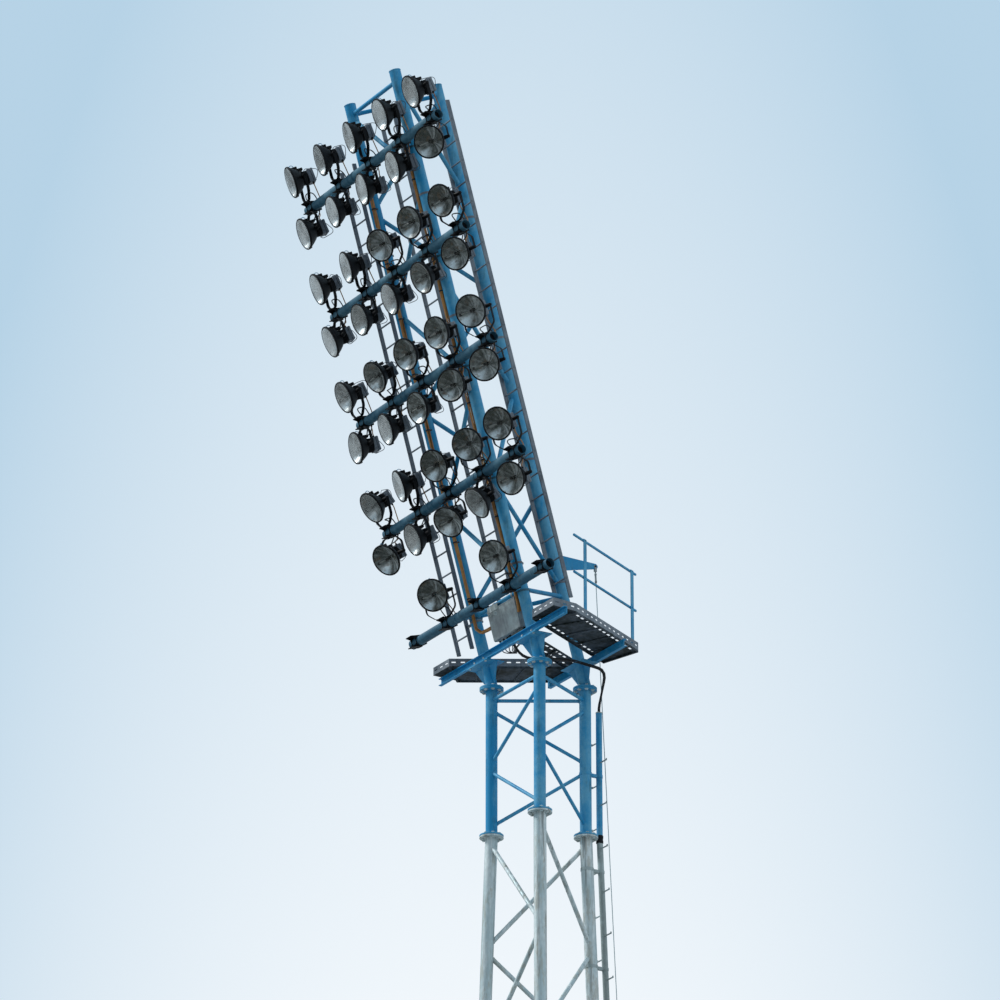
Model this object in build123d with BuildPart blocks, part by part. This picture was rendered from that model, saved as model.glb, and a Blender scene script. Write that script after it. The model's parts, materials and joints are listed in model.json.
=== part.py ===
from build123d import *
import os
from math import atan2, cos, degrees, radians, sin, sqrt, tan

os.makedirs("parts", exist_ok=True)

# Stadium floodlight pylon, millimetres, +Z up.
# The origin is the middle of the rear foot plate's underside, where the rear leg stands on the ground.
# The lamps look towards -Y, and X runs along the crossbars.

# Column: a triangle of three legs, straight at the top and spreading towards the ground
deck_flange_height = 26500.0
straight_length = 2070.0
straight_face = 1250.0
spread_per_mm = 0.069
upper_leg_d = 159.0
lower_leg_d = 168.0
tube_sides = 16
flange_d = 324.0
flange_t = 24.0
lower_section_count = 4

# Feet under the legs
foot_plate_size = 520.0
foot_plate_t = 40.0
anchor_spacing = 360.0
anchor_hole_d = 39.0

# Lattice bars between the legs
straight_bar_d = 48.0
lower_bar_d = 60.0
bar_sides = 6
panel_per_face = 1.04
bar_end_gap = 45.0
level_bar_drop = 160.0
first_diagonal = (300.0, 1050.0)
second_diagonal = (1170.0, 1930.0)

# Head: the same triangle of legs leaning forward
head_tilt = 15.7
head_length = 8360.0
head_leg_d = 159.0
stub_height = 60.0
head_bar_d = 60.0
head_panels = 5
head_top_margin = 150.0

# Crossbars in front of the head and the lamp places along them
crossbar_count = 5
crossbar_length = 3620.0
crossbar_d = 140.0
crossbar_wall = 6.0
crossbar_shift_x = -92.0
first_crossbar = 990.0
crossbar_pitch = 1577.0
crossbar_forward = 230.0
arm_width = 90.0
arm_height = 90.0
lamp_pitch = 831.0
lamps_per_row = 5
saddle_width = 130.0
saddle_reach = 150.0
saddle_forward = 70.0
saddle_t = 10.0

# Lamps
lens_r = 208.0
lens_edge_r = 168.0
lens_bulge = 16.0
rim_r = 227.0
rim_depth = 28.0
bowl_front_r = 217.0
bowl_depth = 140.0
neck_r = 100.0
neck_depth = 85.0
lamp_sides = 12
gear_width = 170.0
gear_height = 200.0
gear_depth = 85.0
pivot_back = 178.0
pivot_size = 30.0
upper_rise = 425.0
lower_rise = 338.0
yoke_half_width = 226.0
yoke_base_half = 110.0
yoke_bend = 110.0
yoke_t = 8.0
yoke_width = 42.0
yoke_end = 21.0

# Aims by row, side (1 above the crossbar, -1 below) and place: turn towards +X and drop, in degrees
lamp_aims = {
    (0, 1): {1: (31, 13), 3: (24, 9)},
    (1, 1): {0: (-4, 22), 1: (-18, 7), 2: (16, 15), 3: (30, 14), 4: (24, 10)},
    (1, -1): {0: (12, 24), 1: (-8, 10), 2: (16, 27), 3: (-5, 23), 4: (20, 8)},
    (2, 1): {0: (-9, 13), 1: (-1, 17), 2: (9, 10), 3: (11, 8), 4: (27, 12)},
    (2, -1): {0: (-10, 3), 1: (-12, 8), 2: (1, 7), 3: (21, 4), 4: (30, 8)},
    (3, 1): {0: (-16, 10), 1: (-17, 6), 2: (15, 15), 3: (10, 9), 4: (13, 12)},
    (3, -1): {0: (-15, 13), 1: (-6, 8), 2: (-10, 10), 3: (-1, 14), 4: (20, 11)},
    (4, 1): {0: (-20, 8), 1: (-18, 7), 2: (-18, 7), 3: (-12, 9), 4: (-10, 11)},
    (4, -1): {0: (-15, 10), 1: (-14, 7), 2: (-15, 4), 3: (-13, 6), 4: (29, 10)},
}

# Ladders behind the crossbars
ladder_width = 350.0
rung_pitch = 300.0
rung_size = 20.0
rail_depth = 60.0
rail_t = 22.0
left_ladder_gap = 243.0
left_ladder_low = 590.0
left_ladder_high = 7590.0
right_ladder_gap = 357.0
right_ladder_low = 1010.0
right_ladder_high = 7890.0
right_ladder_set_back = 70.0
rear_ladder_low = 850.0
rear_ladder_high = 8010.0
rear_ladder_forward = 120.0
ladder_bracket_pitch = 1750.0
ladder_bracket_size = 40.0
ladder_bracket_t = 10.0

# Platform round the head's foot
beam_level = 375.0
beam_height = 100.0
beam_flange = 50.0
beam_wall = 8.0
front_beam_length = 3290.0
rear_beam_length = 1960.0
seat_t = 12.0
seat_width = 560.0
seat_inner = 60.0
gusset_t = 12.0
grating_t = 30.0
walkway_front = 90.0
side_edge_length = 380.0
right_walkway = (150.0, 766.0)
right_corner_x = 1525.0
right_walkway_ends = (1500.0, 1340.0)
left_walkway = (340.0, 910.0)
left_corner_x = 1630.0
left_overrun = 40.0
plank_inset = (150.0, 400.0)
toe_height = 110.0
toe_t = 6.0

# Handrail on the right walkway
handrail_height = 1100.0
midrail_height = 580.0
post_width = 75.0
post_t = 12.0
post_places = (-110.0, 1200.0)
handrail_span = (-380.0, 1340.0)
handrail_size = 28.0

# Climbing pole on the rear leg, which also carries the cables up
pole_out = 214.0
pole_d = 85.0
pole_sides = 12
pole_coupling_d = 98.0
pole_coupling_length = 110.0
pole_top_drop = 290.0
pole_bracket_pitch = 1330.0
pole_bracket_size = 45.0
peg_pitch = 300.0
peg_length = 150.0
peg_size = 18.0
first_peg = 2700.0

# Bracket with an eye on the rear leg, and the taut line from it down to an arm on the pole
davit_rise = 1800.0
davit_reach = 661.0
davit_root_above = 20.0
davit_root_below = 190.0
davit_eye_r = 38.0
davit_hole_r = 15.0
davit_t = 14.0
fork_t = 8.0
fork_width = 36.0
fork_length = 70.0
turnbuckle_d = 34.0
turnbuckle_length = 190.0
line_d = 12.0
line_foot = 2300.0
line_foot_out = 534.0
foot_arm_size = 40.0

# Junction box and cables
box_width = 720.0
box_height = 420.0
box_depth = 160.0
box_along = 690.0
box_x = 140.0
box_hanger_out = 240.0
box_hanger_width = 40.0
gland_count = 8
gland_size = 26.0
gland_length = 55.0
cable_run_d = 46.0
cable_joint_lap = 15.0
cable_branch_d = 24.0
branch_sides = 4
cable_offset = 70.0
cable_top_margin = 150.0
supply_start_x = 60.0
supply_path = ((60.0, -300.0, 250.0), (330.0, 300.0, 250.0), (330.0, 850.0, 200.0))
supply_drop = 90.0
lead_d = 16.0
lead_joint_lap = 4.0
lead_side = 50.0
lead_start_x = 40.0
lead_straight = 30.0
lead_bend_forward = 122.0

root3 = sqrt(3.0)
taper_top = deck_flange_height - straight_length


def face_width(z):
    """Distance between leg centres at a height."""
    return straight_face + spread_per_mm * max(0.0, taper_top - z)


axis_y = -face_width(0.0) / root3


def leg_point(leg, z):
    """Centre of a leg at a height: left and right in front, rear behind."""
    w = face_width(z)
    if leg == "left":
        return Vector(-w / 2, axis_y - w / (2 * root3), z)
    if leg == "right":
        return Vector(w / 2, axis_y - w / (2 * root3), z)
    return Vector(0, axis_y + w / root3, z)


legs = ("left", "right", "rear")
faces = (("left", "right"), ("right", "rear"), ("rear", "left"))


def tube(start, end, diameter, sides):
    """A straight bar of a few flat sides between two points, added to the open part."""
    run = end - start
    with BuildSketch(Plane(origin=start, z_dir=run.normalized())) as section:
        RegularPolygon(diameter / 2, sides)
    extrude(section.sketch, amount=run.length)


def level_disc(centre, diameter, thickness, sides):
    """A flat round plate on a level plane, added to the open part."""
    with BuildSketch(Plane(origin=centre)) as outline:
        RegularPolygon(diameter / 2, sides)
    extrude(outline.sketch, amount=thickness)


def slanting_bar(start, end, diameter, sides):
    """A bar between two points whose ends are cut level, added to the open part."""
    run = end - start
    with BuildSketch(Plane(origin=start)) as foot:
        RegularPolygon(diameter / 2, sides)
    extrude(foot.sketch, amount=run.length, dir=run.normalized())


def leg_section(leg, z_low, z_high, diameter, bottom_flange, top_flange):
    """One leg of a section with its bolted flanges, cut level at both ends."""
    slanting_bar(leg_point(leg, z_low), leg_point(leg, z_high), diameter, tube_sides)
    if bottom_flange:
        level_disc(leg_point(leg, z_low), flange_d, flange_t, tube_sides)
    if top_flange:
        centre = leg_point(leg, z_high) - Vector(0, 0, flange_t)
        level_disc(centre, flange_d, flange_t, tube_sides)


# Foot plates with four anchor holes each
with BuildPart() as foot_plates:
    for leg in legs:
        with BuildSketch(Plane(origin=leg_point(leg, 0.0))):
            Rectangle(foot_plate_size, foot_plate_size)
            with GridLocations(anchor_spacing, anchor_spacing, 2, 2):
                Circle(anchor_hole_d / 2, mode=Mode.SUBTRACT)
        extrude(amount=foot_plate_t)
foot_plates.part.label = "foot_plates"
export_step(foot_plates.part, "parts/foot_plates.step")

# Lower leg sections, galvanised, spreading towards the ground
section_height = (taper_top - foot_plate_t) / lower_section_count
section_levels = [foot_plate_t + section_height * i for i in range(lower_section_count + 1)]
lower_legs = []
for i in range(lower_section_count):
    with BuildPart() as section:
        for leg in legs:
            leg_section(leg, section_levels[i], section_levels[i + 1], lower_leg_d, i > 0, True)
    name = f"lower_legs_{i + 1}"
    section.part.label = name
    export_step(section.part, f"parts/{name}.step")
    lower_legs.append(section.part)

# Straight painted section under the platform
with BuildPart() as straight_legs:
    for leg in legs:
        leg_section(leg, taper_top, deck_flange_height, upper_leg_d, True, True)
straight_legs.part.label = "straight_legs"
export_step(straight_legs.part, "parts/straight_legs.step")


def panel_levels(z_low, z_high):
    """Levels between panels, whose height follows the face width, from the top down."""
    middle_face = face_width((z_low + z_high) / 2)
    count = max(1, round((z_high - z_low) / (panel_per_face * middle_face)))
    return [z_high - (z_high - z_low) * k / count for k in range(count + 1)]


# Lower bracing: one diagonal a panel on each face, leaning by turns
for i in range(lower_section_count):
    z_low = section_levels[i] + flange_t + bar_end_gap
    z_high = section_levels[i + 1] - flange_t - bar_end_gap
    levels = panel_levels(z_low, z_high)
    with BuildPart() as lattice:
        for first, second in faces:
            for k in range(len(levels) - 1):
                upper, lower = (second, first) if k % 2 else (first, second)
                top = leg_point(upper, levels[k] - bar_end_gap)
                bottom = leg_point(lower, levels[k + 1] + bar_end_gap)
                tube(top, bottom, lower_bar_d, bar_sides)
        add(lower_legs[i], mode=Mode.SUBTRACT)
    name = f"lower_bracing_{i + 1}"
    lattice.part.label = name
    export_step(lattice.part, f"parts/{name}.step")

# Bracing of the straight section: a level bar near the top and two diagonals on each face
with BuildPart() as straight_bracing:
    for first, second in faces:
        z = deck_flange_height - level_bar_drop
        tube(leg_point(first, z), leg_point(second, z), straight_bar_d, bar_sides)
        top = leg_point(second, deck_flange_height - first_diagonal[0])
        bottom = leg_point(first, deck_flange_height - first_diagonal[1])
        tube(top, bottom, straight_bar_d, bar_sides)
        top = leg_point(first, deck_flange_height - second_diagonal[0])
        bottom = leg_point(second, deck_flange_height - second_diagonal[1])
        tube(top, bottom, straight_bar_d, bar_sides)
    add(straight_legs.part, mode=Mode.SUBTRACT)
straight_bracing.part.label = "straight_bracing"
export_step(straight_bracing.part, "parts/straight_bracing.step")

# Head frame: w runs up the leaning legs and v out of the front
tilt = radians(head_tilt)
head_w = Vector(0, -sin(tilt), cos(tilt))
head_v = Vector(0, -cos(tilt), -sin(tilt))
head_foot = {leg: leg_point(leg, deck_flange_height + stub_height) for leg in legs}
front_foot = Vector(0, head_foot["left"].Y, head_foot["left"].Z)


def head_point(leg, along):
    """Centre of a leaning leg, at a distance up the head from the front legs' foot."""
    foot = head_foot[leg]
    lag = (foot - front_foot).dot(head_w)
    return foot + head_w * (along - lag)


def head_place(x, along, forward):
    """A point in the head frame, counted from the front legs' foot."""
    place = front_foot + head_w * along + head_v * forward
    return Vector(x, place.Y, place.Z)


def head_block(x_range, along_range, forward_range):
    """A straight block that follows the head's lean, added to the open part."""
    corner = head_place(x_range[0], along_range[0], forward_range[0])
    with BuildSketch(Plane(origin=corner, x_dir=(1, 0, 0), z_dir=head_w)) as base:
        width = x_range[1] - x_range[0]
        depth = forward_range[1] - forward_range[0]
        Rectangle(width, depth, align=(Align.MIN, Align.MAX))
    extrude(base.sketch, amount=along_range[1] - along_range[0])


# Leaning legs, cut level at the foot and square at the top
with BuildPart() as head_legs:
    for leg in legs:
        start = head_foot[leg] - head_w * head_leg_d
        tube(start, head_point(leg, head_length), head_leg_d, tube_sides)
    split(bisect_by=Plane(origin=front_foot), keep=Keep.TOP)
head_legs.part.label = "head_legs"
export_step(head_legs.part, "parts/head_legs.step")

# Foot of the head: a flange and stub on each leg, and a seat plate on splayed gussets for the beams
beam_bottom = deck_flange_height + beam_level - beam_height / 2
seat_z = beam_bottom - seat_t
beam_back = {}
for leg in legs:
    side = 1.0 if leg == "rear" else -1.0
    contact_z = deck_flange_height + beam_level - side * beam_height / 2
    centre_y = head_foot[leg].Y - (contact_z - head_foot[leg].Z) * tan(tilt)
    beam_back[leg] = centre_y + side * head_leg_d / 2 / cos(tilt)
with BuildPart() as head_foot_frame:
    for leg in legs:
        foot = leg_point(leg, deck_flange_height)
        side = 1.0 if leg == "rear" else -1.0
        level_disc(foot, flange_d, flange_t, tube_sides)
        level_disc(foot, head_leg_d, stub_height, tube_sides)
        near = beam_back[leg] + side * beam_flange
        far = beam_back[leg] - side * (head_leg_d + seat_inner)
        with BuildSketch(Plane(origin=(foot.X, (near + far) / 2, seat_z))) as seat:
            Rectangle(seat_width, abs(near - far))
        extrude(seat.sketch, amount=seat_t)
        rise = seat_z - foot.Z - flange_t
        with BuildSketch(Plane(origin=foot + Vector(0, 0, flange_t), x_dir=(1, 0, 0), z_dir=head_v)) as web:
            with BuildLine():
                Polyline(
                    (-head_leg_d / 2, 0),
                    (head_leg_d / 2, 0),
                    (seat_width / 2, rise / cos(tilt)),
                    (-seat_width / 2, rise / cos(tilt)),
                    close=True,
                )
            make_face()
        extrude(web.sketch, amount=gusset_t / 2, both=True)
    add(head_legs.part, mode=Mode.SUBTRACT)
head_foot_frame.part.label = "head_foot_frame"
export_step(head_foot_frame.part, "parts/head_foot_frame.step")

# Head bracing: one diagonal a panel on the three faces, with ties at the foot and the top
bracing_low = box_along + box_height / 2 + head_bar_d
panel = (head_length - head_top_margin - bracing_low - head_bar_d) / head_panels
with BuildPart() as head_bracing:
    for first, second in faces:
        for k in range(head_panels):
            low = bracing_low + head_bar_d + panel * k
            lower, upper = (first, second) if k % 2 else (second, first)
            start = head_point(lower, low + head_bar_d)
            end = head_point(upper, low + panel - head_bar_d)
            tube(start, end, head_bar_d, bar_sides)
        for along in (bracing_low, head_length - head_top_margin):
            tube(head_point(first, along), head_point(second, along), head_bar_d, bar_sides)
    add(head_legs.part, mode=Mode.SUBTRACT)
head_bracing.part.label = "head_bracing"
export_step(head_bracing.part, "parts/head_bracing.step")


def crossbar_along(row):
    """Distance of a crossbar up the head."""
    return first_crossbar + crossbar_pitch * row


def lamp_x(place):
    """X of a lamp place along a crossbar."""
    return crossbar_shift_x + (place - (lamps_per_row - 1) / 2) * lamp_pitch


# Crossbars: open tubes with flat sides above and below, where the saddles sit
crossbar_flat = crossbar_d / 2 * cos(radians(180 / tube_sides))
with BuildPart() as crossbars:
    for row in range(crossbar_count):
        x_left = crossbar_shift_x - crossbar_length / 2
        end = head_place(x_left, crossbar_along(row), crossbar_forward)
        with BuildSketch(Plane(origin=end, x_dir=head_w, z_dir=(1, 0, 0))):
            RegularPolygon(crossbar_d / 2, tube_sides, rotation=180 / tube_sides)
            RegularPolygon(
                crossbar_d / 2 - crossbar_wall,
                tube_sides,
                rotation=180 / tube_sides,
                mode=Mode.SUBTRACT,
            )
        extrude(amount=crossbar_length)
crossbars.part.label = "crossbars"
export_step(crossbars.part, "parts/crossbars.step")

# Arms that hold the crossbars off the front legs
with BuildPart() as crossbar_arms:
    for row in range(crossbar_count):
        along = crossbar_along(row)
        for leg in ("left", "right"):
            x = head_foot[leg].X
            head_block(
                (x - arm_width / 2, x + arm_width / 2),
                (along - arm_height / 2, along + arm_height / 2),
                (0, crossbar_forward - crossbar_flat),
            )
    add(head_legs.part, mode=Mode.SUBTRACT)
crossbar_arms.part.label = "crossbar_arms"
export_step(crossbar_arms.part, "parts/crossbar_arms.step")

# Saddles: a plate above and below the crossbar at each lamp place, reaching forward
with BuildPart() as saddles:
    for row in range(crossbar_count):
        along = crossbar_along(row)
        middle = crossbar_forward + saddle_forward
        for place in range(lamps_per_row):
            x_range = (lamp_x(place) - saddle_width / 2, lamp_x(place) + saddle_width / 2)
            forward_range = (middle - saddle_reach / 2, middle + saddle_reach / 2)
            top = along + crossbar_flat
            head_block(x_range, (top, top + saddle_t), forward_range)
            bottom = along - crossbar_flat
            head_block(x_range, (bottom - saddle_t, bottom), forward_range)
saddles.part.label = "saddles"
export_step(saddles.part, "parts/saddles.step")


def lamp_spots(row):
    """Places and sides of the lamps on a crossbar."""
    return [(place, side) for side in (1, -1) for place in lamp_aims.get((row, side), {})]


def pivot_axis(row, place, side):
    """Direction of a lamp's tilting axis, square to the head's lean."""
    turn = radians(lamp_aims[row, side][place][0])
    return Vector(cos(turn), 0, 0) - head_v * sin(turn)


def pivot_point(row, place, side):
    """Where a lamp tilts in its yoke: above the crossbar, or below it on side -1."""
    rise = upper_rise if side > 0 else -lower_rise
    return head_place(lamp_x(place), crossbar_along(row) + rise, crossbar_forward + saddle_forward)


def lamp_plane(row, place, side):
    """Plane on the lens face: its z looks along the beam and its x is the tilting axis."""
    turn, drop = [radians(angle) for angle in lamp_aims[row, side][place]]
    ahead = Vector(sin(turn), 0, 0) + head_v * cos(turn)
    aim = ahead * cos(drop) - head_w * sin(drop)
    origin = pivot_point(row, place, side) + aim * pivot_back
    return Plane(origin=origin, x_dir=pivot_axis(row, place, side), z_dir=aim)


def narrowing(start_r, end_r, depth):
    """Slope of a lamp's flat sides, in degrees, where its corners draw in from one radius to another."""
    side_share = cos(radians(180 / lamp_sides))
    return degrees(atan2((start_r - end_r) * side_share, depth))


# One lamp, lens face at the origin and looking along +Z. Its bowl is drawn the other way up.
with BuildPart() as bowl:
    with BuildSketch():
        RegularPolygon(bowl_front_r, lamp_sides)
    extrude(amount=bowl_depth, taper=narrowing(bowl_front_r, neck_r, bowl_depth))
with BuildPart() as one_housing:
    with BuildSketch():
        RegularPolygon(rim_r, lamp_sides)
    extrude(amount=-rim_depth)
    with Locations(Location((0, 0, -rim_depth), (180, 0, 0))):
        add(bowl.part)
    with BuildSketch(Plane.XY.offset(-rim_depth - bowl_depth)):
        RegularPolygon(neck_r, lamp_sides)
    extrude(amount=-neck_depth)
    with BuildSketch(Plane.YZ.offset(yoke_t - yoke_half_width)):
        with Locations((0, -pivot_back)):
            Rectangle(pivot_size, pivot_size)
    extrude(amount=2 * (yoke_half_width - yoke_t))

with BuildPart() as one_lens:
    with BuildSketch():
        RegularPolygon(lens_r, lamp_sides)
    extrude(amount=lens_bulge, taper=narrowing(lens_r, lens_edge_r, lens_bulge))

gear_start = rim_depth + bowl_depth + neck_depth
with BuildPart() as one_gear_box:
    with BuildSketch(Plane.XY.offset(-gear_start)):
        Rectangle(gear_width, gear_height)
    extrude(amount=-gear_depth)


def yoke(row, place, side):
    """A flat bar bent to a U, seated on the saddle plate, added to the open part."""
    seat = crossbar_along(row) + side * (crossbar_flat + saddle_t)
    base = head_place(lamp_x(place), seat, crossbar_forward + saddle_forward)
    reach = (pivot_point(row, place, side) - base).length + yoke_end
    axis = pivot_axis(row, place, side)
    plane = Plane(origin=base, x_dir=axis, z_dir=axis.cross(head_w * side))
    inner = yoke_half_width - yoke_t
    with BuildSketch(plane) as outline:
        with BuildLine():
            Polyline(
                (-yoke_half_width, reach),
                (-yoke_half_width, yoke_bend),
                (-yoke_base_half, 0),
                (yoke_base_half, 0),
                (yoke_half_width, yoke_bend),
                (yoke_half_width, reach),
                (inner, reach),
                (inner, yoke_bend + yoke_t / 2),
                (yoke_base_half - yoke_t / 2, yoke_t),
                (yoke_t / 2 - yoke_base_half, yoke_t),
                (-inner, yoke_bend + yoke_t / 2),
                (-inner, reach),
                close=True,
            )
        make_face()
    extrude(outline.sketch, amount=yoke_width / 2, both=True)


gear_places = []
for row in range(crossbar_count):
    spots = lamp_spots(row)
    places = [lamp_plane(row, place, side).location for place, side in spots]
    gear_places += places
    with BuildPart() as housings:
        with Locations(*places):
            add(one_housing.part)
    housings.part.label = f"lamp_housings_{row + 1}"
    export_step(housings.part, f"parts/lamp_housings_{row + 1}.step")
    with BuildPart() as lenses:
        with Locations(*places):
            add(one_lens.part)
    lenses.part.label = f"lenses_{row + 1}"
    export_step(lenses.part, f"parts/lenses_{row + 1}.step")
    with BuildPart() as yokes:
        for place, side in spots:
            yoke(row, place, side)
    yokes.part.label = f"yokes_{row + 1}"
    export_step(yokes.part, f"parts/yokes_{row + 1}.step")

with BuildPart() as gear_boxes:
    with Locations(*gear_places):
        add(one_gear_box.part)
gear_boxes.part.label = "gear_boxes"
export_step(gear_boxes.part, "parts/gear_boxes.step")


def ladder(x_left, low, high, forward):
    """Two rails and their rungs, following the head's lean, added to the open part."""
    for x in (x_left, x_left + ladder_width):
        rail_x = (x - rail_t / 2, x + rail_t / 2)
        head_block(rail_x, (low, high), (forward - rail_depth / 2, forward + rail_depth / 2))
    count = int((high - low) / rung_pitch)
    first_rung = (high - low - rung_pitch * (count - 1)) / 2
    start = head_place(x_left, low + first_rung, forward)
    with BuildSketch(Plane(origin=start, x_dir=head_w, z_dir=(1, 0, 0))) as rungs:
        with Locations(*[(rung_pitch * k, 0) for k in range(count)]):
            Rectangle(rung_size, rung_size)
    extrude(rungs.sketch, amount=ladder_width)


def bracket_levels(low, high):
    """Levels up a ladder where a bracket holds it."""
    count = int((high - low - rung_pitch) / ladder_bracket_pitch) + 1
    return [low + rung_pitch + ladder_bracket_pitch * k for k in range(count)]


# Ladders: one beside each front leg and one in front of the rear leg, on brackets
rear_forward = (head_foot["rear"] - front_foot).dot(head_v)
half_bracket = ladder_bracket_size / 2
with BuildPart() as ladders:
    for leg, gap, low, high, forward in (
        ("left", left_ladder_gap, left_ladder_low, left_ladder_high, 0.0),
        ("right", right_ladder_gap, right_ladder_low, right_ladder_high, -right_ladder_set_back),
    ):
        leg_x = head_foot[leg].X
        ladder(leg_x - gap - ladder_width, low, high, forward)
        for along in bracket_levels(low, high):
            head_block(
                (leg_x - gap, leg_x),
                (along - half_bracket, along + half_bracket),
                (forward - ladder_bracket_t / 2, forward + ladder_bracket_t / 2),
            )
    forward = rear_forward + rear_ladder_forward
    ladder(0.0, rear_ladder_low, rear_ladder_high, forward)
    for along in bracket_levels(rear_ladder_low, rear_ladder_high):
        head_block(
            (-ladder_bracket_t / 2, ladder_bracket_t / 2),
            (along - half_bracket, along + half_bracket),
            (rear_forward, forward),
        )
    add(head_legs.part, mode=Mode.SUBTRACT)
    add(head_bracing.part, mode=Mode.SUBTRACT)
ladders.part.label = "ladders"
export_step(ladders.part, "parts/ladders.step")


def channel_beam(length, back_y, side):
    """A channel along X whose back rests on the legs, added to the open part."""
    start = Vector(-length / 2, back_y, deck_flange_height + beam_level)
    with BuildSketch(Plane(origin=start, x_dir=(0, side, 0), z_dir=(1, 0, 0))) as profile:
        with Locations((beam_flange / 2, 0)):
            Rectangle(beam_flange, beam_height)
        with Locations(((beam_flange + beam_wall) / 2, 0)):
            Rectangle(beam_flange - beam_wall, beam_height - 2 * beam_wall, mode=Mode.SUBTRACT)
    extrude(profile.sketch, amount=length)


# Platform beams in front of the front legs and behind the rear leg
with BuildPart() as platform_beams:
    channel_beam(front_beam_length, beam_back["left"], -1)
    channel_beam(rear_beam_length, beam_back["rear"], 1)
platform_beams.part.label = "platform_beams"
export_step(platform_beams.part, "parts/platform_beams.step")

# Plan directions of the right face, with distances measured along it and out from it
deck_z = deck_flange_height + beam_level + beam_height / 2
face_run = Vector(-0.5, root3 / 2, 0)
face_out = Vector(root3 / 2, 0.5, 0)
face_start = leg_point("right", deck_flange_height)
front_edge_y = beam_back["left"] - beam_flange - walkway_front
rear_edge_y = beam_back["rear"] + beam_flange + left_overrun


def beside_face(along, out):
    """Plan point at a distance along the right face and a distance out from it."""
    place = face_start + face_run * along + face_out * out
    return (place.X, place.Y)


def beside_face_at(out, y):
    """Plan point at a distance out from the right face where that line meets a Y."""
    start = face_start + face_out * out
    place = start + face_run * ((y - start.Y) / face_run.Y)
    return (place.X, place.Y)


def mirrored(points):
    """The same outline on the other side of the tower."""
    return [(-x, y) for x, y in points]


right_outline = [
    beside_face_at(right_walkway[0], front_edge_y),
    (right_corner_x, front_edge_y),
    beside_face_at(right_walkway[1], front_edge_y + side_edge_length),
    beside_face(right_walkway_ends[1], right_walkway[1]),
    beside_face(right_walkway_ends[0], right_walkway[0]),
]
left_outline = [
    beside_face_at(left_walkway[0], front_edge_y),
    (left_corner_x, front_edge_y),
    beside_face_at(left_walkway[1], front_edge_y + side_edge_length),
    beside_face_at(left_walkway[1], rear_edge_y),
    beside_face_at(left_walkway[0], rear_edge_y),
]
plank_front_y = beam_back["left"] - beam_flange
plank_rear_y = beam_back["rear"] + beam_flange
plank_outline = [
    beside_face_at(-plank_inset[1], plank_front_y),
    beside_face_at(-plank_inset[0], plank_front_y),
    beside_face_at(-plank_inset[0], plank_rear_y),
    beside_face_at(-plank_inset[1], plank_rear_y),
]

# Walkways and the inner plank, resting on the beams
with BuildPart() as gratings:
    for outline in (right_outline, mirrored(left_outline), plank_outline):
        with BuildSketch(Plane.XY.offset(deck_z)) as plan:
            with BuildLine():
                Polyline(*outline, close=True)
            make_face()
        extrude(plan.sketch, amount=grating_t)
gratings.part.label = "gratings"
export_step(gratings.part, "parts/gratings.step")


def toe_board(start, end):
    """A board on a walkway's edge, its thickness to the left of the run, added to the open part."""
    run = Vector(end[0] - start[0], end[1] - start[1], 0)
    plane = Plane(origin=(start[0], start[1], deck_z + grating_t), x_dir=run, z_dir=(0, 0, 1))
    with BuildSketch(plane) as plan:
        Rectangle(run.length, toe_t, align=(Align.MIN, Align.MIN))
    extrude(plan.sketch, amount=toe_height)


# Toe boards round the outer edges, and on the left walkway's inner edge as well
with BuildPart() as toe_boards:
    for k in range(3):
        toe_board(right_outline[k], right_outline[k + 1])
    left_edge = mirrored(left_outline)
    for k in range(3):
        toe_board(left_edge[k + 1], left_edge[k])
    toe_board(left_edge[0], left_edge[4])
toe_boards.part.label = "toe_boards"
export_step(toe_boards.part, "parts/toe_boards.step")

# Handrail: two posts inside the outer toe board of the right walkway, with two rails
walkway_top = deck_z + grating_t
post_face = right_walkway[1] - toe_t
with BuildPart() as handrail:
    for along in post_places:
        foot = beside_face(along, post_face)
        plane = Plane(origin=(foot[0], foot[1], walkway_top), x_dir=face_run, z_dir=(0, 0, 1))
        with BuildSketch(plane) as post:
            Rectangle(post_width, post_t, align=(Align.CENTER, Align.MIN))
        extrude(post.sketch, amount=handrail_height)
    start = beside_face(handrail_span[0], post_face - post_t)
    for height in (midrail_height, handrail_height):
        z = walkway_top + height - handrail_size
        plane = Plane(origin=(start[0], start[1], z), x_dir=face_run, z_dir=(0, 0, 1))
        with BuildSketch(plane) as rail:
            Rectangle(handrail_span[1] - handrail_span[0], handrail_size, align=(Align.MIN, Align.MIN))
        extrude(rail.sketch, amount=handrail_size)
handrail.part.label = "handrail"
export_step(handrail.part, "parts/handrail.step")


def pole_point(z):
    """Centre of the climbing pole at a height."""
    return leg_point("rear", z) + Vector(0, pole_out, 0)


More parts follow.
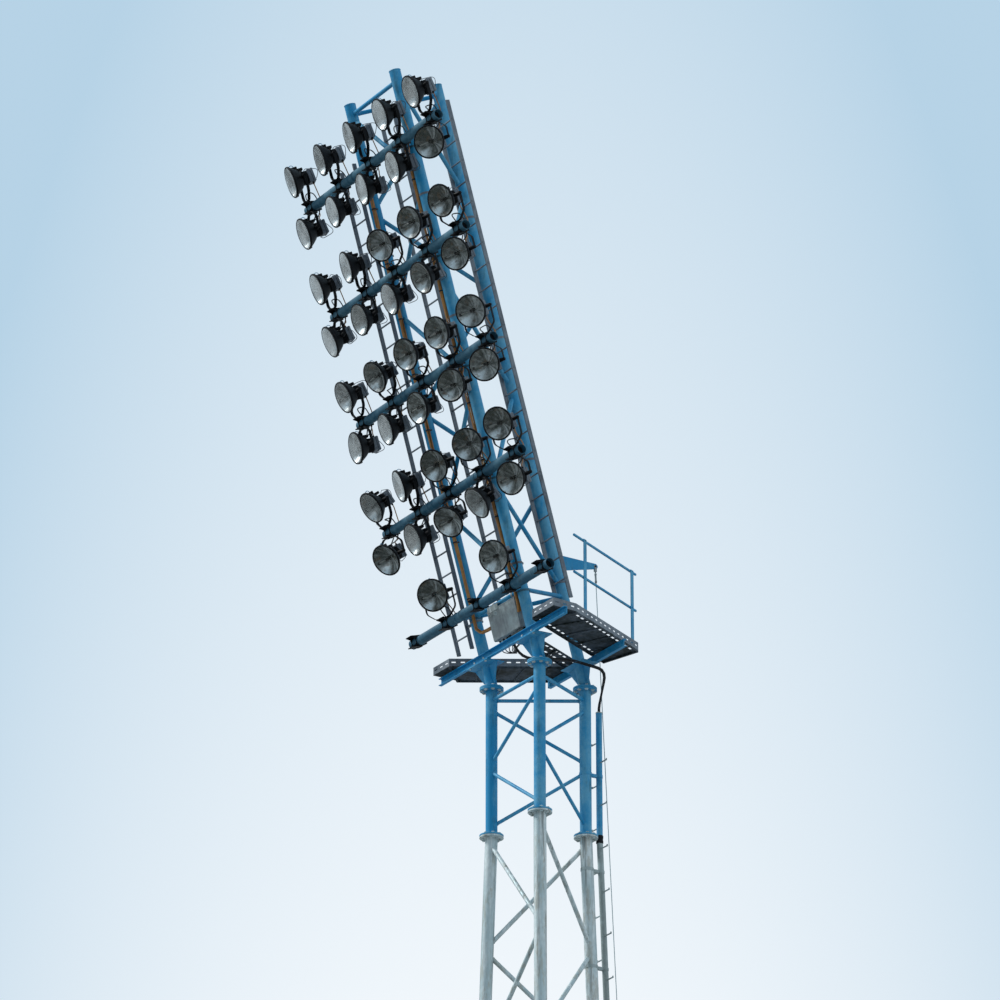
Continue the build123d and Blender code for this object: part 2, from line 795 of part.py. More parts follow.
# Climbing pole with its pegs, its brackets and the arm that holds the taut line's foot
pole_top = deck_flange_height - pole_top_drop
line_foot_y = leg_point("rear", line_foot).Y + line_foot_out
bracket_count = int((pole_top - foot_plate_t) / pole_bracket_pitch)
peg_count = int((pole_top - first_peg) / peg_pitch)
with BuildPart() as climbing_pole:
    slanting_bar(pole_point(foot_plate_t), pole_point(taper_top), pole_d, pole_sides)
    slanting_bar(pole_point(taper_top), pole_point(pole_top), pole_d, pole_sides)
    coupling_foot = pole_point(taper_top) - Vector(0, 0, pole_coupling_length / 2)
    level_disc(coupling_foot, pole_coupling_d, pole_coupling_length, pole_sides)
    for side in (1, -1):
        first = 0 if side > 0 else 1
        levels = [first_peg + peg_pitch * k for k in range(first, peg_count, 2)]
        with BuildSketch(Plane(origin=(0, 0, 0), x_dir=(0, 1, 0), z_dir=(1, 0, 0))) as pegs:
            with Locations(*[(pole_point(z).Y, z) for z in levels]):
                Rectangle(peg_size, peg_size)
        extrude(pegs.sketch, amount=side * (pole_d / 2 + peg_length))
    with BuildSketch(Plane(origin=(0, 0, 0), x_dir=(0, 1, 0), z_dir=(1, 0, 0))) as brackets:
        for k in range(bracket_count):
            z = foot_plate_t + pole_bracket_pitch * (k + 1)
            with Locations((leg_point("rear", z).Y, z)):
                Rectangle(pole_out, pole_bracket_size, align=(Align.MIN, Align.CENTER))
    extrude(brackets.sketch, amount=pole_bracket_size / 2, both=True)
    arm_start = leg_point("rear", line_foot).Y
    with BuildSketch(Plane(origin=(0, 0, 0), x_dir=(0, 1, 0), z_dir=(1, 0, 0))) as arm:
        with Locations((arm_start, line_foot)):
            Rectangle(line_foot_out + foot_arm_size, foot_arm_size, align=(Align.MIN, Align.MAX))
    extrude(arm.sketch, amount=foot_arm_size / 2, both=True)
    for section in lower_legs + [straight_legs.part]:
        add(section, mode=Mode.SUBTRACT)
climbing_pole.part.label = "climbing_pole"
export_step(climbing_pole.part, "parts/climbing_pole.step")

# Bracket plate behind the rear leg, ending in an eye
davit_z = deck_flange_height + davit_rise
davit_y = head_foot["rear"].Y - (davit_z - head_foot["rear"].Z) * tan(tilt)
eye = Vector(0, davit_y + davit_reach, davit_z)
davit_plane = Plane(origin=(0, davit_y, davit_z), x_dir=(0, 1, 0), z_dir=(1, 0, 0))
with BuildPart() as davit:
    with BuildSketch(davit_plane) as plate:
        with BuildLine():
            Polyline(
                (0, davit_root_above + davit_eye_r),
                (0, -davit_root_below),
                (davit_reach, -davit_eye_r),
                (davit_reach, davit_eye_r),
                close=True,
            )
        make_face()
        with Locations((davit_reach, 0)):
            RegularPolygon(davit_eye_r, pole_sides)
            RegularPolygon(davit_hole_r, pole_sides, mode=Mode.SUBTRACT)
    extrude(plate.sketch, amount=davit_t / 2, both=True)
    add(head_legs.part, mode=Mode.SUBTRACT)
davit.part.label = "davit"
export_step(davit.part, "parts/davit.step")

# Turnbuckle: a fork over the eye, its pin, and the body that draws the line taut
line_end = Vector(0, line_foot_y, line_foot)
line_run = (line_end - eye).normalized()
hang = Plane(origin=eye, x_dir=(1, 0, 0), z_dir=line_run)
fork_half = davit_t / 2 + fork_t
with BuildPart() as turnbuckle:
    with BuildSketch(hang.offset(-fork_width / 2)) as cheeks:
        Rectangle(2 * fork_half, fork_width)
        Rectangle(davit_t, fork_width, mode=Mode.SUBTRACT)
    extrude(cheeks.sketch, amount=fork_width / 2 + fork_length)
    with BuildSketch(hang.offset(fork_length)) as bridge:
        Rectangle(2 * fork_half, fork_width)
    extrude(bridge.sketch, amount=fork_t)
    with BuildSketch(Plane(origin=eye, x_dir=(0, 1, 0), z_dir=(1, 0, 0))) as pin:
        RegularPolygon(davit_hole_r, pole_sides)
    extrude(pin.sketch, amount=fork_half, both=True)
    body_start = eye + line_run * (fork_length + fork_t)
    body_end = body_start + line_run * turnbuckle_length
    tube(body_start, body_end, turnbuckle_d, pole_sides)
turnbuckle.part.label = "turnbuckle"
export_step(turnbuckle.part, "parts/turnbuckle.step")

# Taut line beside the climbing pole
with BuildPart() as lifeline:
    tube(body_end, line_end + line_run * line_d, line_d, bar_sides)
    split(bisect_by=Plane(origin=line_end), keep=Keep.TOP)
lifeline.part.label = "lifeline"
export_step(lifeline.part, "parts/lifeline.step")

# Junction box between the front legs, hung from the lowest tie, with glands underneath
box_low = box_along - box_height / 2
box_high = box_along + box_height / 2
with BuildPart() as junction_box:
    box_x_range = (box_x - box_width / 2, box_x + box_width / 2)
    head_block(box_x_range, (box_low, box_high), (-box_depth / 2, box_depth / 2))
    for side in (1, -1):
        hanger_x = box_x + side * box_hanger_out
        hanger_range = (hanger_x - box_hanger_width / 2, hanger_x + box_hanger_width / 2)
        head_block(hanger_range, (box_high, bracing_low), (-gusset_t / 2, gusset_t / 2))
    for k in range(gland_count):
        gland_x = box_x_range[0] + box_width * (k + 0.5) / gland_count
        gland_range = (gland_x - gland_size / 2, gland_x + gland_size / 2)
        head_block(gland_range, (box_low - gland_length, box_low), (-gland_size / 2, gland_size / 2))
    add(head_bracing.part, mode=Mode.SUBTRACT)
junction_box.part.label = "junction_box"
export_step(junction_box.part, "parts/junction_box.step")


def cable_run(points, diameter, sides, lap):
    """A cable or bundle laid in straight runs between points, which lap where they meet."""
    for k in range(len(points) - 1):
        run = (points[k + 1] - points[k]).normalized() * lap
        start = points[k] - run if k > 0 else points[k]
        end = points[k + 1] + run if k < len(points) - 2 else points[k + 1]
        tube(start, end, diameter, sides)


# Cables: a bundle up each front leg with a branch to every crossbar, and the supply up the pole
cable_top = crossbar_along(crossbar_count - 1) + cable_top_margin
with BuildPart() as cables:
    for leg, side in (("left", 1), ("right", -1)):
        x = head_foot[leg].X + side * cable_offset
        box_side = box_x_range[0] if side > 0 else box_x_range[1]
        cable_run(
            [
                head_place(x, cable_top, cable_offset),
                head_place(x, box_along, cable_offset),
                head_place(box_side, box_along, cable_offset - cable_run_d / 2),
            ],
            cable_run_d,
            bar_sides,
            cable_joint_lap,
        )
        for row in range(crossbar_count):
            start = head_place(x, crossbar_along(row), cable_offset)
            end = head_place(x, crossbar_along(row), crossbar_forward - crossbar_flat)
            tube(start, end, cable_branch_d, branch_sides)
    supply = [head_place(supply_start_x, box_low, 0)]
    for x, y, z in supply_path:
        supply.append(Vector(x, axis_y + y, deck_flange_height + z))
    supply.append(pole_point(pole_top) + Vector(0, 0, supply_drop))
    supply.append(pole_point(pole_top))
    cable_run(supply, cable_run_d, bar_sides, cable_joint_lap)
    add(head_legs.part, mode=Mode.SUBTRACT)
    add(junction_box.part, mode=Mode.SUBTRACT)
cables.part.label = "cables"
export_step(cables.part, "parts/cables.step")

# Lamp leads: each from the gear box's side that faces the crossbar, down behind it and onto its back
crossbar_back = crossbar_forward - crossbar_flat
leads = []
for row in range(crossbar_count):
    along = crossbar_along(row)
    for place, side in lamp_spots(row):
        plane = lamp_plane(row, place, side)
        leaving = plane.y_dir * -side
        middle = plane.origin - plane.z_dir * (gear_start + gear_depth / 2) + plane.x_dir * lead_start_x
        exit_point = middle + leaving * (gear_height / 2)
        x = lamp_x(place) + side * lead_side
        bend = head_place(x, along, lead_bend_forward)
        route = [exit_point, exit_point + leaving * lead_straight, bend, head_place(x, along, crossbar_back)]
        with BuildPart() as lead:
            cable_run(route, lead_d, branch_sides, lead_joint_lap)
        leads.append(lead.part)
with BuildPart() as lamp_leads:
    add(leads)
lamp_leads.part.label = "lamp_leads"
export_step(lamp_leads.part, "parts/lamp_leads.step")
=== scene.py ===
import json
from math import cos, pi, radians, sin, sqrt, tan

import bpy
import numpy as np
from mathutils import Matrix


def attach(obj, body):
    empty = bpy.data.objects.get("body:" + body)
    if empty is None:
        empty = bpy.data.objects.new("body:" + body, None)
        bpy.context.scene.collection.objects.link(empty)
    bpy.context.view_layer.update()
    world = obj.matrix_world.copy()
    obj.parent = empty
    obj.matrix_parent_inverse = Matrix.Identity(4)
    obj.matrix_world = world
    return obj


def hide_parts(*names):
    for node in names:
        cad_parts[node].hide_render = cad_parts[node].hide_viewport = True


bl_info = {
    "name": "Stadium floodlight pylon",
    "version": (1, 0, 0),
    "blender": (4, 5, 0),
    "location": "3D View > Sidebar > Pylon",
    "description": "Makes the finished pieces of a floodlight pylon round its packed frame",
    "category": "Object",
}

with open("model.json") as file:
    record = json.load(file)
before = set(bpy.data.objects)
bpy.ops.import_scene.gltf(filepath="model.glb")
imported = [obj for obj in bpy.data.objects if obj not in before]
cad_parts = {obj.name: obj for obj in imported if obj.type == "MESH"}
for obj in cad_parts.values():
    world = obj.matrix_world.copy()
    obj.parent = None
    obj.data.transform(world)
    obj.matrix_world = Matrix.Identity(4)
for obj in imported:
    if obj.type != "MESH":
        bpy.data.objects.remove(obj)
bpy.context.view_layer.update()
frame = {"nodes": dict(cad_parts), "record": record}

# Slots that several pieces share
ZINC = "galvanised_steel"
BLUE = "blue_painted_steel"
BLACK = "black_painted_steel"
SLATE = "slate_painted_steel"
GLASS = "lens_glass"
SHEATH = "cable_sheath"

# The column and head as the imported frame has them, in metres
DECK = 26.5
STRAIGHT = 2.07
TAPER_TOP = DECK - STRAIGHT
STRAIGHT_FACE = 1.25
SPREAD = 0.069
FOOT_PLATE = 0.04
SECTIONS = 4
SECTION = (TAPER_TOP - FOOT_PLATE) / SECTIONS
FLANGE_T = 0.024
STUB = 0.06
TILT = radians(15.7)
HEAD_LENGTH = 8.36
HEAD_W = np.array([0, -sin(TILT), cos(TILT)])
HEAD_V = np.array([0, -cos(TILT), -sin(TILT)])
X, Y, UP = np.eye(3)
ROWS = 5
PLACES = 5
FIRST_CROSSBAR = 0.99
CROSSBAR_PITCH = 1.577
CROSSBAR_FORWARD = 0.23
CROSSBAR_R = 0.07
CROSSBAR_FLAT = CROSSBAR_R * cos(pi / 16)
CROSSBAR_LENGTH = 3.62
CROSSBAR_SHIFT = -0.092
LAMP_PITCH = 0.831
SADDLE_FORWARD = 0.07
SADDLE_T = 0.01
BEAM_LEVEL = 0.375
PIVOT_BACK = 0.178
UPPER_RISE = 0.425
LOWER_RISE = 0.338
RIM_R = 0.227
RIM_DEPTH = 0.028
NECK_START = 0.168
GEAR_START = 0.253
GEAR_DEPTH = 0.09
LOWER_LEG_R = 0.084
LEG_R = 0.0795
BRACE_R = 0.03
FLANGE_R = 0.162
FLANGE_BORE = 0.06
BOLT_RING_R = 0.128
JOINT_GAP = 0.001
BEAM_HALF = 0.05
SEAT_T = 0.012
POLE_OUT = 0.214
POLE_TOP = DECK - 0.29
BOX_LEFT, BOX_RIGHT, BOX_LOW, BOX_HIGH = -0.22, 0.5, 0.48, 0.9

# Aims by row, side (1 above the crossbar, -1 below) and place: turn towards +X and drop, in degrees
LAMP_AIMS = {
    (0, 1): {1: (31, 13), 3: (24, 9)},
    (1, 1): {0: (-4, 22), 1: (-18, 7), 2: (16, 15), 3: (30, 14), 4: (24, 10)},
    (1, -1): {0: (12, 24), 1: (-8, 10), 2: (16, 27), 3: (-5, 23), 4: (20, 8)},
    (2, 1): {0: (-9, 13), 1: (-1, 17), 2: (9, 10), 3: (11, 8), 4: (27, 12)},
    (2, -1): {0: (-10, 3), 1: (-12, 8), 2: (1, 7), 3: (21, 4), 4: (30, 8)},
    (3, 1): {0: (-16, 10), 1: (-17, 6), 2: (15, 15), 3: (10, 9), 4: (13, 12)},
    (3, -1): {0: (-15, 13), 1: (-6, 8), 2: (-10, 10), 3: (-1, 14), 4: (20, 11)},
    (4, 1): {0: (-20, 8), 1: (-18, 7), 2: (-18, 7), 3: (-12, 9), 4: (-10, 11)},
    (4, -1): {0: (-15, 10), 1: (-14, 7), 2: (-15, 4), 3: (-13, 6), 4: (29, 10)},
}
LEGS = ("left", "right", "rear")
FACES = (("left", "right"), ("right", "rear"), ("rear", "left"))
STILL = np.vstack([np.eye(3), [0, 0, 0]])


def face_width(z):
    """Distance between leg centres: the straight face, and below it a share more for each metre down."""
    return STRAIGHT_FACE + SPREAD * max(0.0, TAPER_TOP - z)


AXIS_Y = -face_width(0.0) / sqrt(3)


def leg_point(leg, z):
    """Centre of a leg at a height: a corner of the level triangle of that face width round the column's axis."""
    w = face_width(z)
    if leg == "rear":
        return np.array([0.0, AXIS_Y + w / sqrt(3), z])
    side = -1 if leg == "left" else 1
    return np.array([side * w / 2, AXIS_Y - w / (2 * sqrt(3)), z])


HEAD_FOOT = {leg: leg_point(leg, DECK + STUB) for leg in LEGS}
FRONT_FOOT = np.array([0.0, HEAD_FOOT["left"][1], DECK + STUB])
HEAD_AXES = np.stack([X, HEAD_V, HEAD_W])


def head(x, along, forward):
    """A point of the leaning head: the front legs' foot plus x across, a distance up the lean and one out in
    front."""
    x, along, forward = np.broadcast_arrays(*(np.asarray(v, float) for v in (x, along, forward)))
    place = FRONT_FOOT + along[..., None] * HEAD_W + forward[..., None] * HEAD_V
    return place + x[..., None] * X


def head_leg(leg, along):
    """Centre of a leaning leg at a distance up the head from the front legs' foot."""
    foot = HEAD_FOOT[leg]
    return foot + HEAD_W * (along - (foot - FRONT_FOOT) @ HEAD_W)


def crossbar_along(row):
    """Distance of a crossbar up the head."""
    return FIRST_CROSSBAR + CROSSBAR_PITCH * row


def lamp_x(place):
    """Place of a lamp along X, counted from the crossbar's middle."""
    return CROSSBAR_SHIFT + (place - (PLACES - 1) / 2) * LAMP_PITCH


def unit(vectors):
    """Vectors divided by their lengths."""
    return vectors / np.linalg.norm(vectors, axis=-1, keepdims=True)


def facing(aim, side, origin):
    """A frame whose Z goes along the aim and X along the side."""
    return np.stack([side, np.cross(aim, side), aim, origin])


class Shape:
    """Points, faces and a shade number for each point, gathered from several surfaces into one piece."""

    def __init__(self):
        self.points, self.faces, self.shades, self.count = [], [], [], 0

    def add(self, points, faces, shade=0.5):
        """Adds a surface: its points, and arrays of faces that count from its first point."""
        points = np.asarray(points, float).reshape(-1, 3)
        self.points.append(points)
        self.faces += [np.asarray(f, int) + self.count for f in faces]
        self.shades.append(np.broadcast_to(np.asarray(shade, float).ravel(), len(points)))
        self.count += len(points)
        return self

    def repeat(self, one, frames=STILL, shades=0.5):
        """Copies of one shape: each point's three numbers times a frame's three directions, plus its origin. A
        copy has one shade, or those of the shape where None is given."""
        frames = np.asarray(frames, float).reshape(-1, 4, 3)
        points = np.concatenate(one.points)
        placed = np.einsum("pa,mab->mpb", points, frames[:, :3]) + frames[:, None, 3]
        steps = (np.arange(len(frames)) * len(points))[:, None, None]
        faces = [(f[None] + steps).reshape(-1, f.shape[1]) for f in one.faces]
        if shades is None:
            return self.add(placed, faces, np.tile(np.concatenate(one.shades), len(frames)))
        shades = np.broadcast_to(np.asarray(shades, float), len(frames))
        return self.add(placed, faces, np.repeat(shades, len(points)))


def speckle(count, seed):
    """The same spread of numbers from 0 to 1 on every run."""
    return np.random.default_rng(seed).random(count)


def make_piece(name, shape, slot, replaced=(), look=None, crease=38.0):
    """Puts a shape into a mesh object that rides on the frame, smooth but for edges sharper than the crease. Its
    finish is its slot's where no other look is named."""
    mesh = bpy.data.meshes.new(name)
    points = np.concatenate(shape.points)
    totals = np.concatenate([np.full(len(f), f.shape[1]) for f in shape.faces])
    corners = np.concatenate([f.ravel() for f in shape.faces])
    mesh.vertices.add(len(points))
    mesh.vertices.foreach_set("co", points.ravel())
    mesh.loops.add(len(corners))
    mesh.loops.foreach_set("vertex_index", corners)
    mesh.polygons.add(len(totals))
    mesh.polygons.foreach_set("loop_start", np.concatenate([[0], np.cumsum(totals)[:-1]]))
    mesh.update(calc_edges=True)
    mesh.attributes.new("shade", "FLOAT", "POINT").data.foreach_set("value", np.concatenate(shape.shades))
    mesh.shade_smooth()
    mesh.set_sharp_from_angle(angle=radians(crease))
    mesh.materials.append(finish(look or slot))
    piece = bpy.data.objects.new(name, mesh)
    bpy.context.scene.collection.objects.link(piece)
    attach(piece, "root")
    if replaced:
        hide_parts(*replaced)


def ring_faces(rings, sides):
    """Quads between neighbouring rings of points, each ring closed on itself."""
    i, j = np.meshgrid(np.arange(rings - 1), np.arange(sides), indexing="ij")
    after = (j + 1) % sides
    quads = np.stack([i * sides + j, i * sides + after, (i + 1) * sides + after, (i + 1) * sides + j], axis=-1)
    return quads.reshape(-1, 4)


def circle(radius, sides):
    """A round outline: radius times the cosine and sine of evenly spaced angles."""
    angle = np.arange(sides) * 2 * pi / sides
    return radius * np.stack([np.cos(angle), np.sin(angle)], axis=1)


def rounded_bar(width, depth, corner, steps=3):
    """A rectangle with round corners: quarter circles about the four points set in from its corners."""
    angle = np.linspace(0, pi / 2, steps)[None] + (np.arange(4) * pi / 2)[:, None]
    signs = np.array([[1, 1], [-1, 1], [-1, -1], [1, -1]])[:, None]
    centres = signs * (np.array([width, depth]) / 2 - corner)
    return (centres + corner * np.stack([np.cos(angle), np.sin(angle)], axis=-1)).reshape(-1, 2)


def tangents(path):
    """Direction of a path at each point: the mean of the runs on both sides of it."""
    run = unit(np.diff(path, axis=0))
    return unit(np.vstack([run[:1], run[:-1] + run[1:], run[-1:]]))


def carry(path, profile, up=UP):
    """A closed profile carried along a path: each path point plus the profile's two numbers along the sideways
    and upward directions square to the path, with a face at both ends."""
    path, profile = np.asarray(path, float), np.asarray(profile, float)
    tangent = tangents(path)
    side = unit(np.cross(np.asarray(up, float), tangent))
    over = np.cross(tangent, side)
    points = path[:, None] + profile[None, :, :1] * side[:, None] + profile[None, :, 1:] * over[:, None]
    sides = np.arange(len(profile))
    last = (len(path) - 1) * len(sides)
    return points.reshape(-1, 3), [ring_faces(len(path), len(sides)), sides[::-1][None], last + sides[None]]


def plate(outline, thickness):
    """A flat plate of a given outline round the plane of X and Y."""
    return Shape().add(*carry([[0, 0, -thickness / 2], [0, 0, thickness / 2]], outline, up=Y))


def turned(profile, sides):
    """A surface of revolution about Z: each radius and height of the profile at evenly spaced angles, with one
    point where the radius is nothing."""
    profile = np.asarray(profile, float)
    low, high = profile[0, 0] == 0, profile[-1, 0] == 0
    body = profile[int(low): len(profile) - int(high)]
    around = circle(1.0, sides)
    flat = body[:, None, :1] * around[None]
    heights = np.broadcast_to(body[:, None, 1:], flat.shape[:2] + (1,))
    points = np.concatenate([flat, heights], axis=-1).reshape(-1, 3)
    faces = [ring_faces(len(body), sides)]
    j = np.arange(sides)
    after = (j + 1) % sides
    if low:
        faces.append(np.stack([np.full(sides, len(points)), after, j], axis=1))
        points = np.vstack([points, [0, 0, profile[0, 1]]])
    if high:
        last = (len(body) - 1) * sides
        faces.append(np.stack([last + j, last + after, np.full(sides, len(points))], axis=1))
        points = np.vstack([points, [0, 0, profile[-1, 1]]])
    return Shape().add(points, faces)


def block_pattern():
    """Corners of a box with chamfered edges: three points at each corner, one on each face that meets there."""
    signs = np.stack(np.meshgrid([-1, 1], [-1, 1], [-1, 1], indexing="ij"), axis=-1).reshape(-1, 3)
    corners = np.repeat(signs, 3, axis=0)
    inset = 1 - np.tile(np.eye(3, dtype=int), (8, 1))

    def index(sign, axis):
        return int((sign[0] + 1) * 2 + (sign[1] + 1) + (sign[2] + 1) // 2) * 3 + axis

    quads, corners_cut = [], [[3 * c, 3 * c + 1, 3 * c + 2] for c in range(8)]
    for a in range(3):
        b, c = (a + 1) % 3, (a + 2) % 3
        for s in (-1, 1):
            face = []
            for first, second in ((-1, -1), (1, -1), (1, 1), (-1, 1)):
                sign = [0, 0, 0]
                sign[a], sign[b], sign[c] = s, first, second
                face.append(index(sign, a))
            quads.append(face)
            for t in (-1, 1):
                low, high = [0, 0, 0], [0, 0, 0]
                low[a], low[b], low[c] = s, t, -1
                high[a], high[b], high[c] = s, t, 1
                quads.append([index(low, a), index(high, a), index(high, b), index(low, b)])
    points = corners * (1 - 0.2 * inset)

    def outward(face):
        p = points[face]
        return face if np.cross(p[1] - p[0], p[2] - p[0]) @ p.mean(axis=0) > 0 else face[::-1]

    return corners, inset, [np.array([outward(f) for f in quads]), np.array([outward(f) for f in corners_cut])]


BLOCK = block_pattern()


def blocks(shape, lows, highs, axes=np.eye(3), origin=(0, 0, 0), bevel=0.003, shades=0.5):
    """Boxes with chamfered edges between two corners each, in given directions from a given origin: each corner
    point is half the size from the middle, less the bevel along the two directions of its own face."""
    lows, highs = (np.asarray(v, float).reshape(-1, 3) for v in (lows, highs))
    corners, inset, faces = BLOCK
    middle, half = (lows + highs) / 2, np.abs(highs - lows) / 2
    cut = np.minimum(bevel, half * 0.45)[:, None] * inset
    local = middle[:, None] + corners * (half[:, None] - cut)
    steps = (np.arange(len(lows)) * len(corners))[:, None, None]
    placed = [(f[None] + steps).reshape(-1, f.shape[1]) for f in faces]
    if np.linalg.det(axes) < 0:
        placed = [f[:, ::-1] for f in placed]
    shades = np.repeat(np.broadcast_to(np.asarray(shades, float), len(lows)), len(corners))
    return shape.add(local @ axes + np.asarray(origin, float), placed, shades)


def head_blocks(shape, boxes, bevel=0.003, shades=0.5):
    """Chamfered boxes that follow the head's lean, each from six limits: across, up the lean and forward."""
    boxes = np.asarray(boxes, float).reshape(-1, 6)
    lows, highs = boxes[:, [0, 4, 2]], boxes[:, [1, 5, 3]]
    return blocks(shape, lows, highs, HEAD_AXES, FRONT_FOOT, bevel, shades)


def bar_frames(starts, ends, radius):
    """Frames that turn a bar of length one and radius one into bars between pairs of points."""
    starts, ends = (np.asarray(v, float).reshape(-1, 3) for v in (starts, ends))
    run = ends - starts
    aim = unit(run)
    side = unit(np.cross(np.eye(3)[np.argmin(np.abs(aim), axis=1)], aim))
    over = np.cross(aim, side)
    radius = np.broadcast_to(np.asarray(radius, float), len(run))[:, None]
    return np.stack([side * radius, over * radius, run, starts], axis=1)


def round_bars(shape, starts, ends, radius, sides=12, shades=0.5):
    """Round bars between pairs of points."""
    one = Shape().add(*carry([[0, 0, 0], [0, 0, 1]], circle(1, sides), up=Y))
    return shape.repeat(one, bar_frames(starts, ends, radius), shades)


def bolt(size, length):
    """A hexagon bolt head with a washer at its foot and a rounded crown, standing on the plane of X and Y."""
    head_r, washer_r, head_t, washer_t = 0.95 * size, 1.15 * size, 0.65 * size, 0.15 * size
    washer = [(0, -length), (size / 2, -length), (size / 2, 0), (washer_r, 0), (washer_r, washer_t), (0, washer_t)]
    crown = [(0, 0.1 * size), (head_r, 0.1 * size), (head_r, head_t * 0.85), (head_r * 0.86, head_t), (0, head_t)]
    return turned(washer, 12).repeat(turned(crown, 6))


def level_frames(centres, turns=0.0):
    """Upright frames at given centres, each turned about the vertical."""
    centres = np.asarray(centres, float).reshape(-1, 3)
    turns = np.broadcast_to(np.asarray(turns, float), len(centres))
    x = np.stack([np.cos(turns), np.sin(turns), 0 * turns], axis=1)
    y = np.stack([-np.sin(turns), np.cos(turns), 0 * turns], axis=1)
    z = np.broadcast_to(UP, x.shape)
    return np.stack([x, y, z, centres], axis=1)


def flipped(frames):
    """The same frames looking the other way, still right-handed."""
    out = np.array(frames)
    out[:, 1:3] *= -1
    return out


def rounded_path(points, reach, steps=6):
    """A path whose corners are rounded: each corner is replaced by the parabola that touches both runs at the
    given distance from it."""
    points = np.asarray(points, float)
    before, corner, after = points[:-2], points[1:-1], points[2:]
    into, out = before - corner, after - corner
    shorter = np.minimum(*(np.linalg.norm(run, axis=1) for run in (into, out)))
    reach = np.minimum(reach, 0.48 * shorter)[:, None]
    start, end = corner + unit(into) * reach, corner + unit(out) * reach
    t = np.linspace(0, 1, steps)[None, :, None]
    arcs = (1 - t) ** 2 * start[:, None] + 2 * t * (1 - t) * corner[:, None] + t ** 2 * end[:, None]
    return np.vstack([points[:1], arcs.reshape(-1, 3), points[-1:]])


def finely(points, step):
    """More points on a path's runs, evenly spaced."""
    points = np.asarray(points, float)
    gone = distances(points)
    at = np.linspace(0, gone[-1], max(2, int(gone[-1] / step)))
    return np.stack([np.interp(at, gone, points[:, i]) for i in range(3)], axis=1)


def distances(path):
    """How far along a path each of its points is."""
    return np.concatenate([[0], np.cumsum(np.linalg.norm(np.diff(path, axis=0), axis=1))])


def wire(shape, corners, bend, steps, step, radius, sides, up, shade):
    """A round wire along a path with rounded corners."""
    path = finely(rounded_path(corners, bend, steps), step)
    shape.add(*carry(path, circle(radius, sides), up), shade=shade)


def weld(shape, centre, direction, radius, sides=32):
    """A weld bead round a tube: a small round section turned about the tube's axis."""
    r = 0.006
    profile = [(radius - r, -r), (radius + r * 0.4, -r), (radius + r, 0), (radius + r * 0.4, r), (radius - r, r)]
    direction = unit(np.asarray(direction, float))
    shape.repeat(turned(profile, sides), bar_frames([centre], [centre + direction], 1.0))


def welded_bar(shape, start, end, radius, sides, shade, reach):
    """A round bar between the centres of two legs, with a weld bead at a distance from both."""
    round_bars(shape, [start], [end], radius, sides, shade)
    aim = unit(end - start)
    weld(shape, start + aim * reach, aim, radius, 14)
    weld(shape, end - aim * reach, aim, radius, 14)


def flange(shape, centre, z, shade=0.5):
    """A flat ring with chamfered edges round a leg, turned about a vertical through the leg's centre."""
    edge, top = 0.003, z + FLANGE_T - JOINT_GAP
    profile = [(FLANGE_BORE, z), (FLANGE_R - edge, z), (FLANGE_R, z + edge), (FLANGE_R, top - edge),
               (FLANGE_R - edge, top), (FLANGE_BORE, top)]
    shape.repeat(turned(profile, 40), level_frames([[centre[0], centre[1], 0]]), shade)


def flange_bolts(shape, centre, sizes):
    """Bolts in a circle, with heads above the joint and nuts below it."""
    angle = (np.arange(sizes.bolt_count) + 0.5) * 2 * pi / sizes.bolt_count
    ring = centre + BOLT_RING_R * np.stack([np.cos(angle), np.sin(angle), 0 * angle], axis=1)
    one = bolt(sizes.bolt_size, 0.01)
    shape.repeat(one, level_frames(ring + UP * FLANGE_T, angle))
    shape.repeat(one, flipped(level_frames(ring - UP * FLANGE_T, angle)))


def clasp(shape, centre, axis, front, radius, width, thickness):
    """A flat band round a tube with a bolted lug: the band's rectangle turned about the tube's axis."""
    inner, outer, half = radius - 0.001, radius + thickness, width / 2
    frames = facing(unit(np.asarray(axis, float)), unit(np.asarray(front, float)), centre)
    band = turned([(inner, -half), (outer, -half), (outer, half), (inner, half), (inner, -half)], 28)
    shape.repeat(band, frames)
    lug = blocks(Shape(), [[-radius - 0.03, -0.012, -half]], [[-radius, 0.012, half]], bevel=0.002)
    shape.repeat(lug, frames)


def beam_back(leg):
    """Y of the plane where a platform beam's back touches a leaning leg: at the level where the leg comes
    nearest, its centre's Y plus half its slanting width."""
    side = 1.0 if leg == "rear" else -1.0
    contact = DECK + BEAM_LEVEL - side * BEAM_HALF
    centre = HEAD_FOOT[leg][1] - (contact - HEAD_FOOT[leg][2]) * tan(TILT)
    return centre + side * LEG_R / cos(TILT)


class Wire:
    """A node's output in an expression: each operator adds a Math node."""

    def __init__(self, nodes, socket):
        self.nodes, self.socket = nodes, socket

    def __add__(self, other):
        return self.nodes.math("ADD", self, other)

    def __sub__(self, other):
        return self.nodes.math("SUBTRACT", self, other)

    def __rsub__(self, other):
        return self.nodes.math("SUBTRACT", other, self)

    def __mul__(self, other):
        return self.nodes.math("MULTIPLY", self, other)

    __radd__ = __add__
    __rmul__ = __mul__


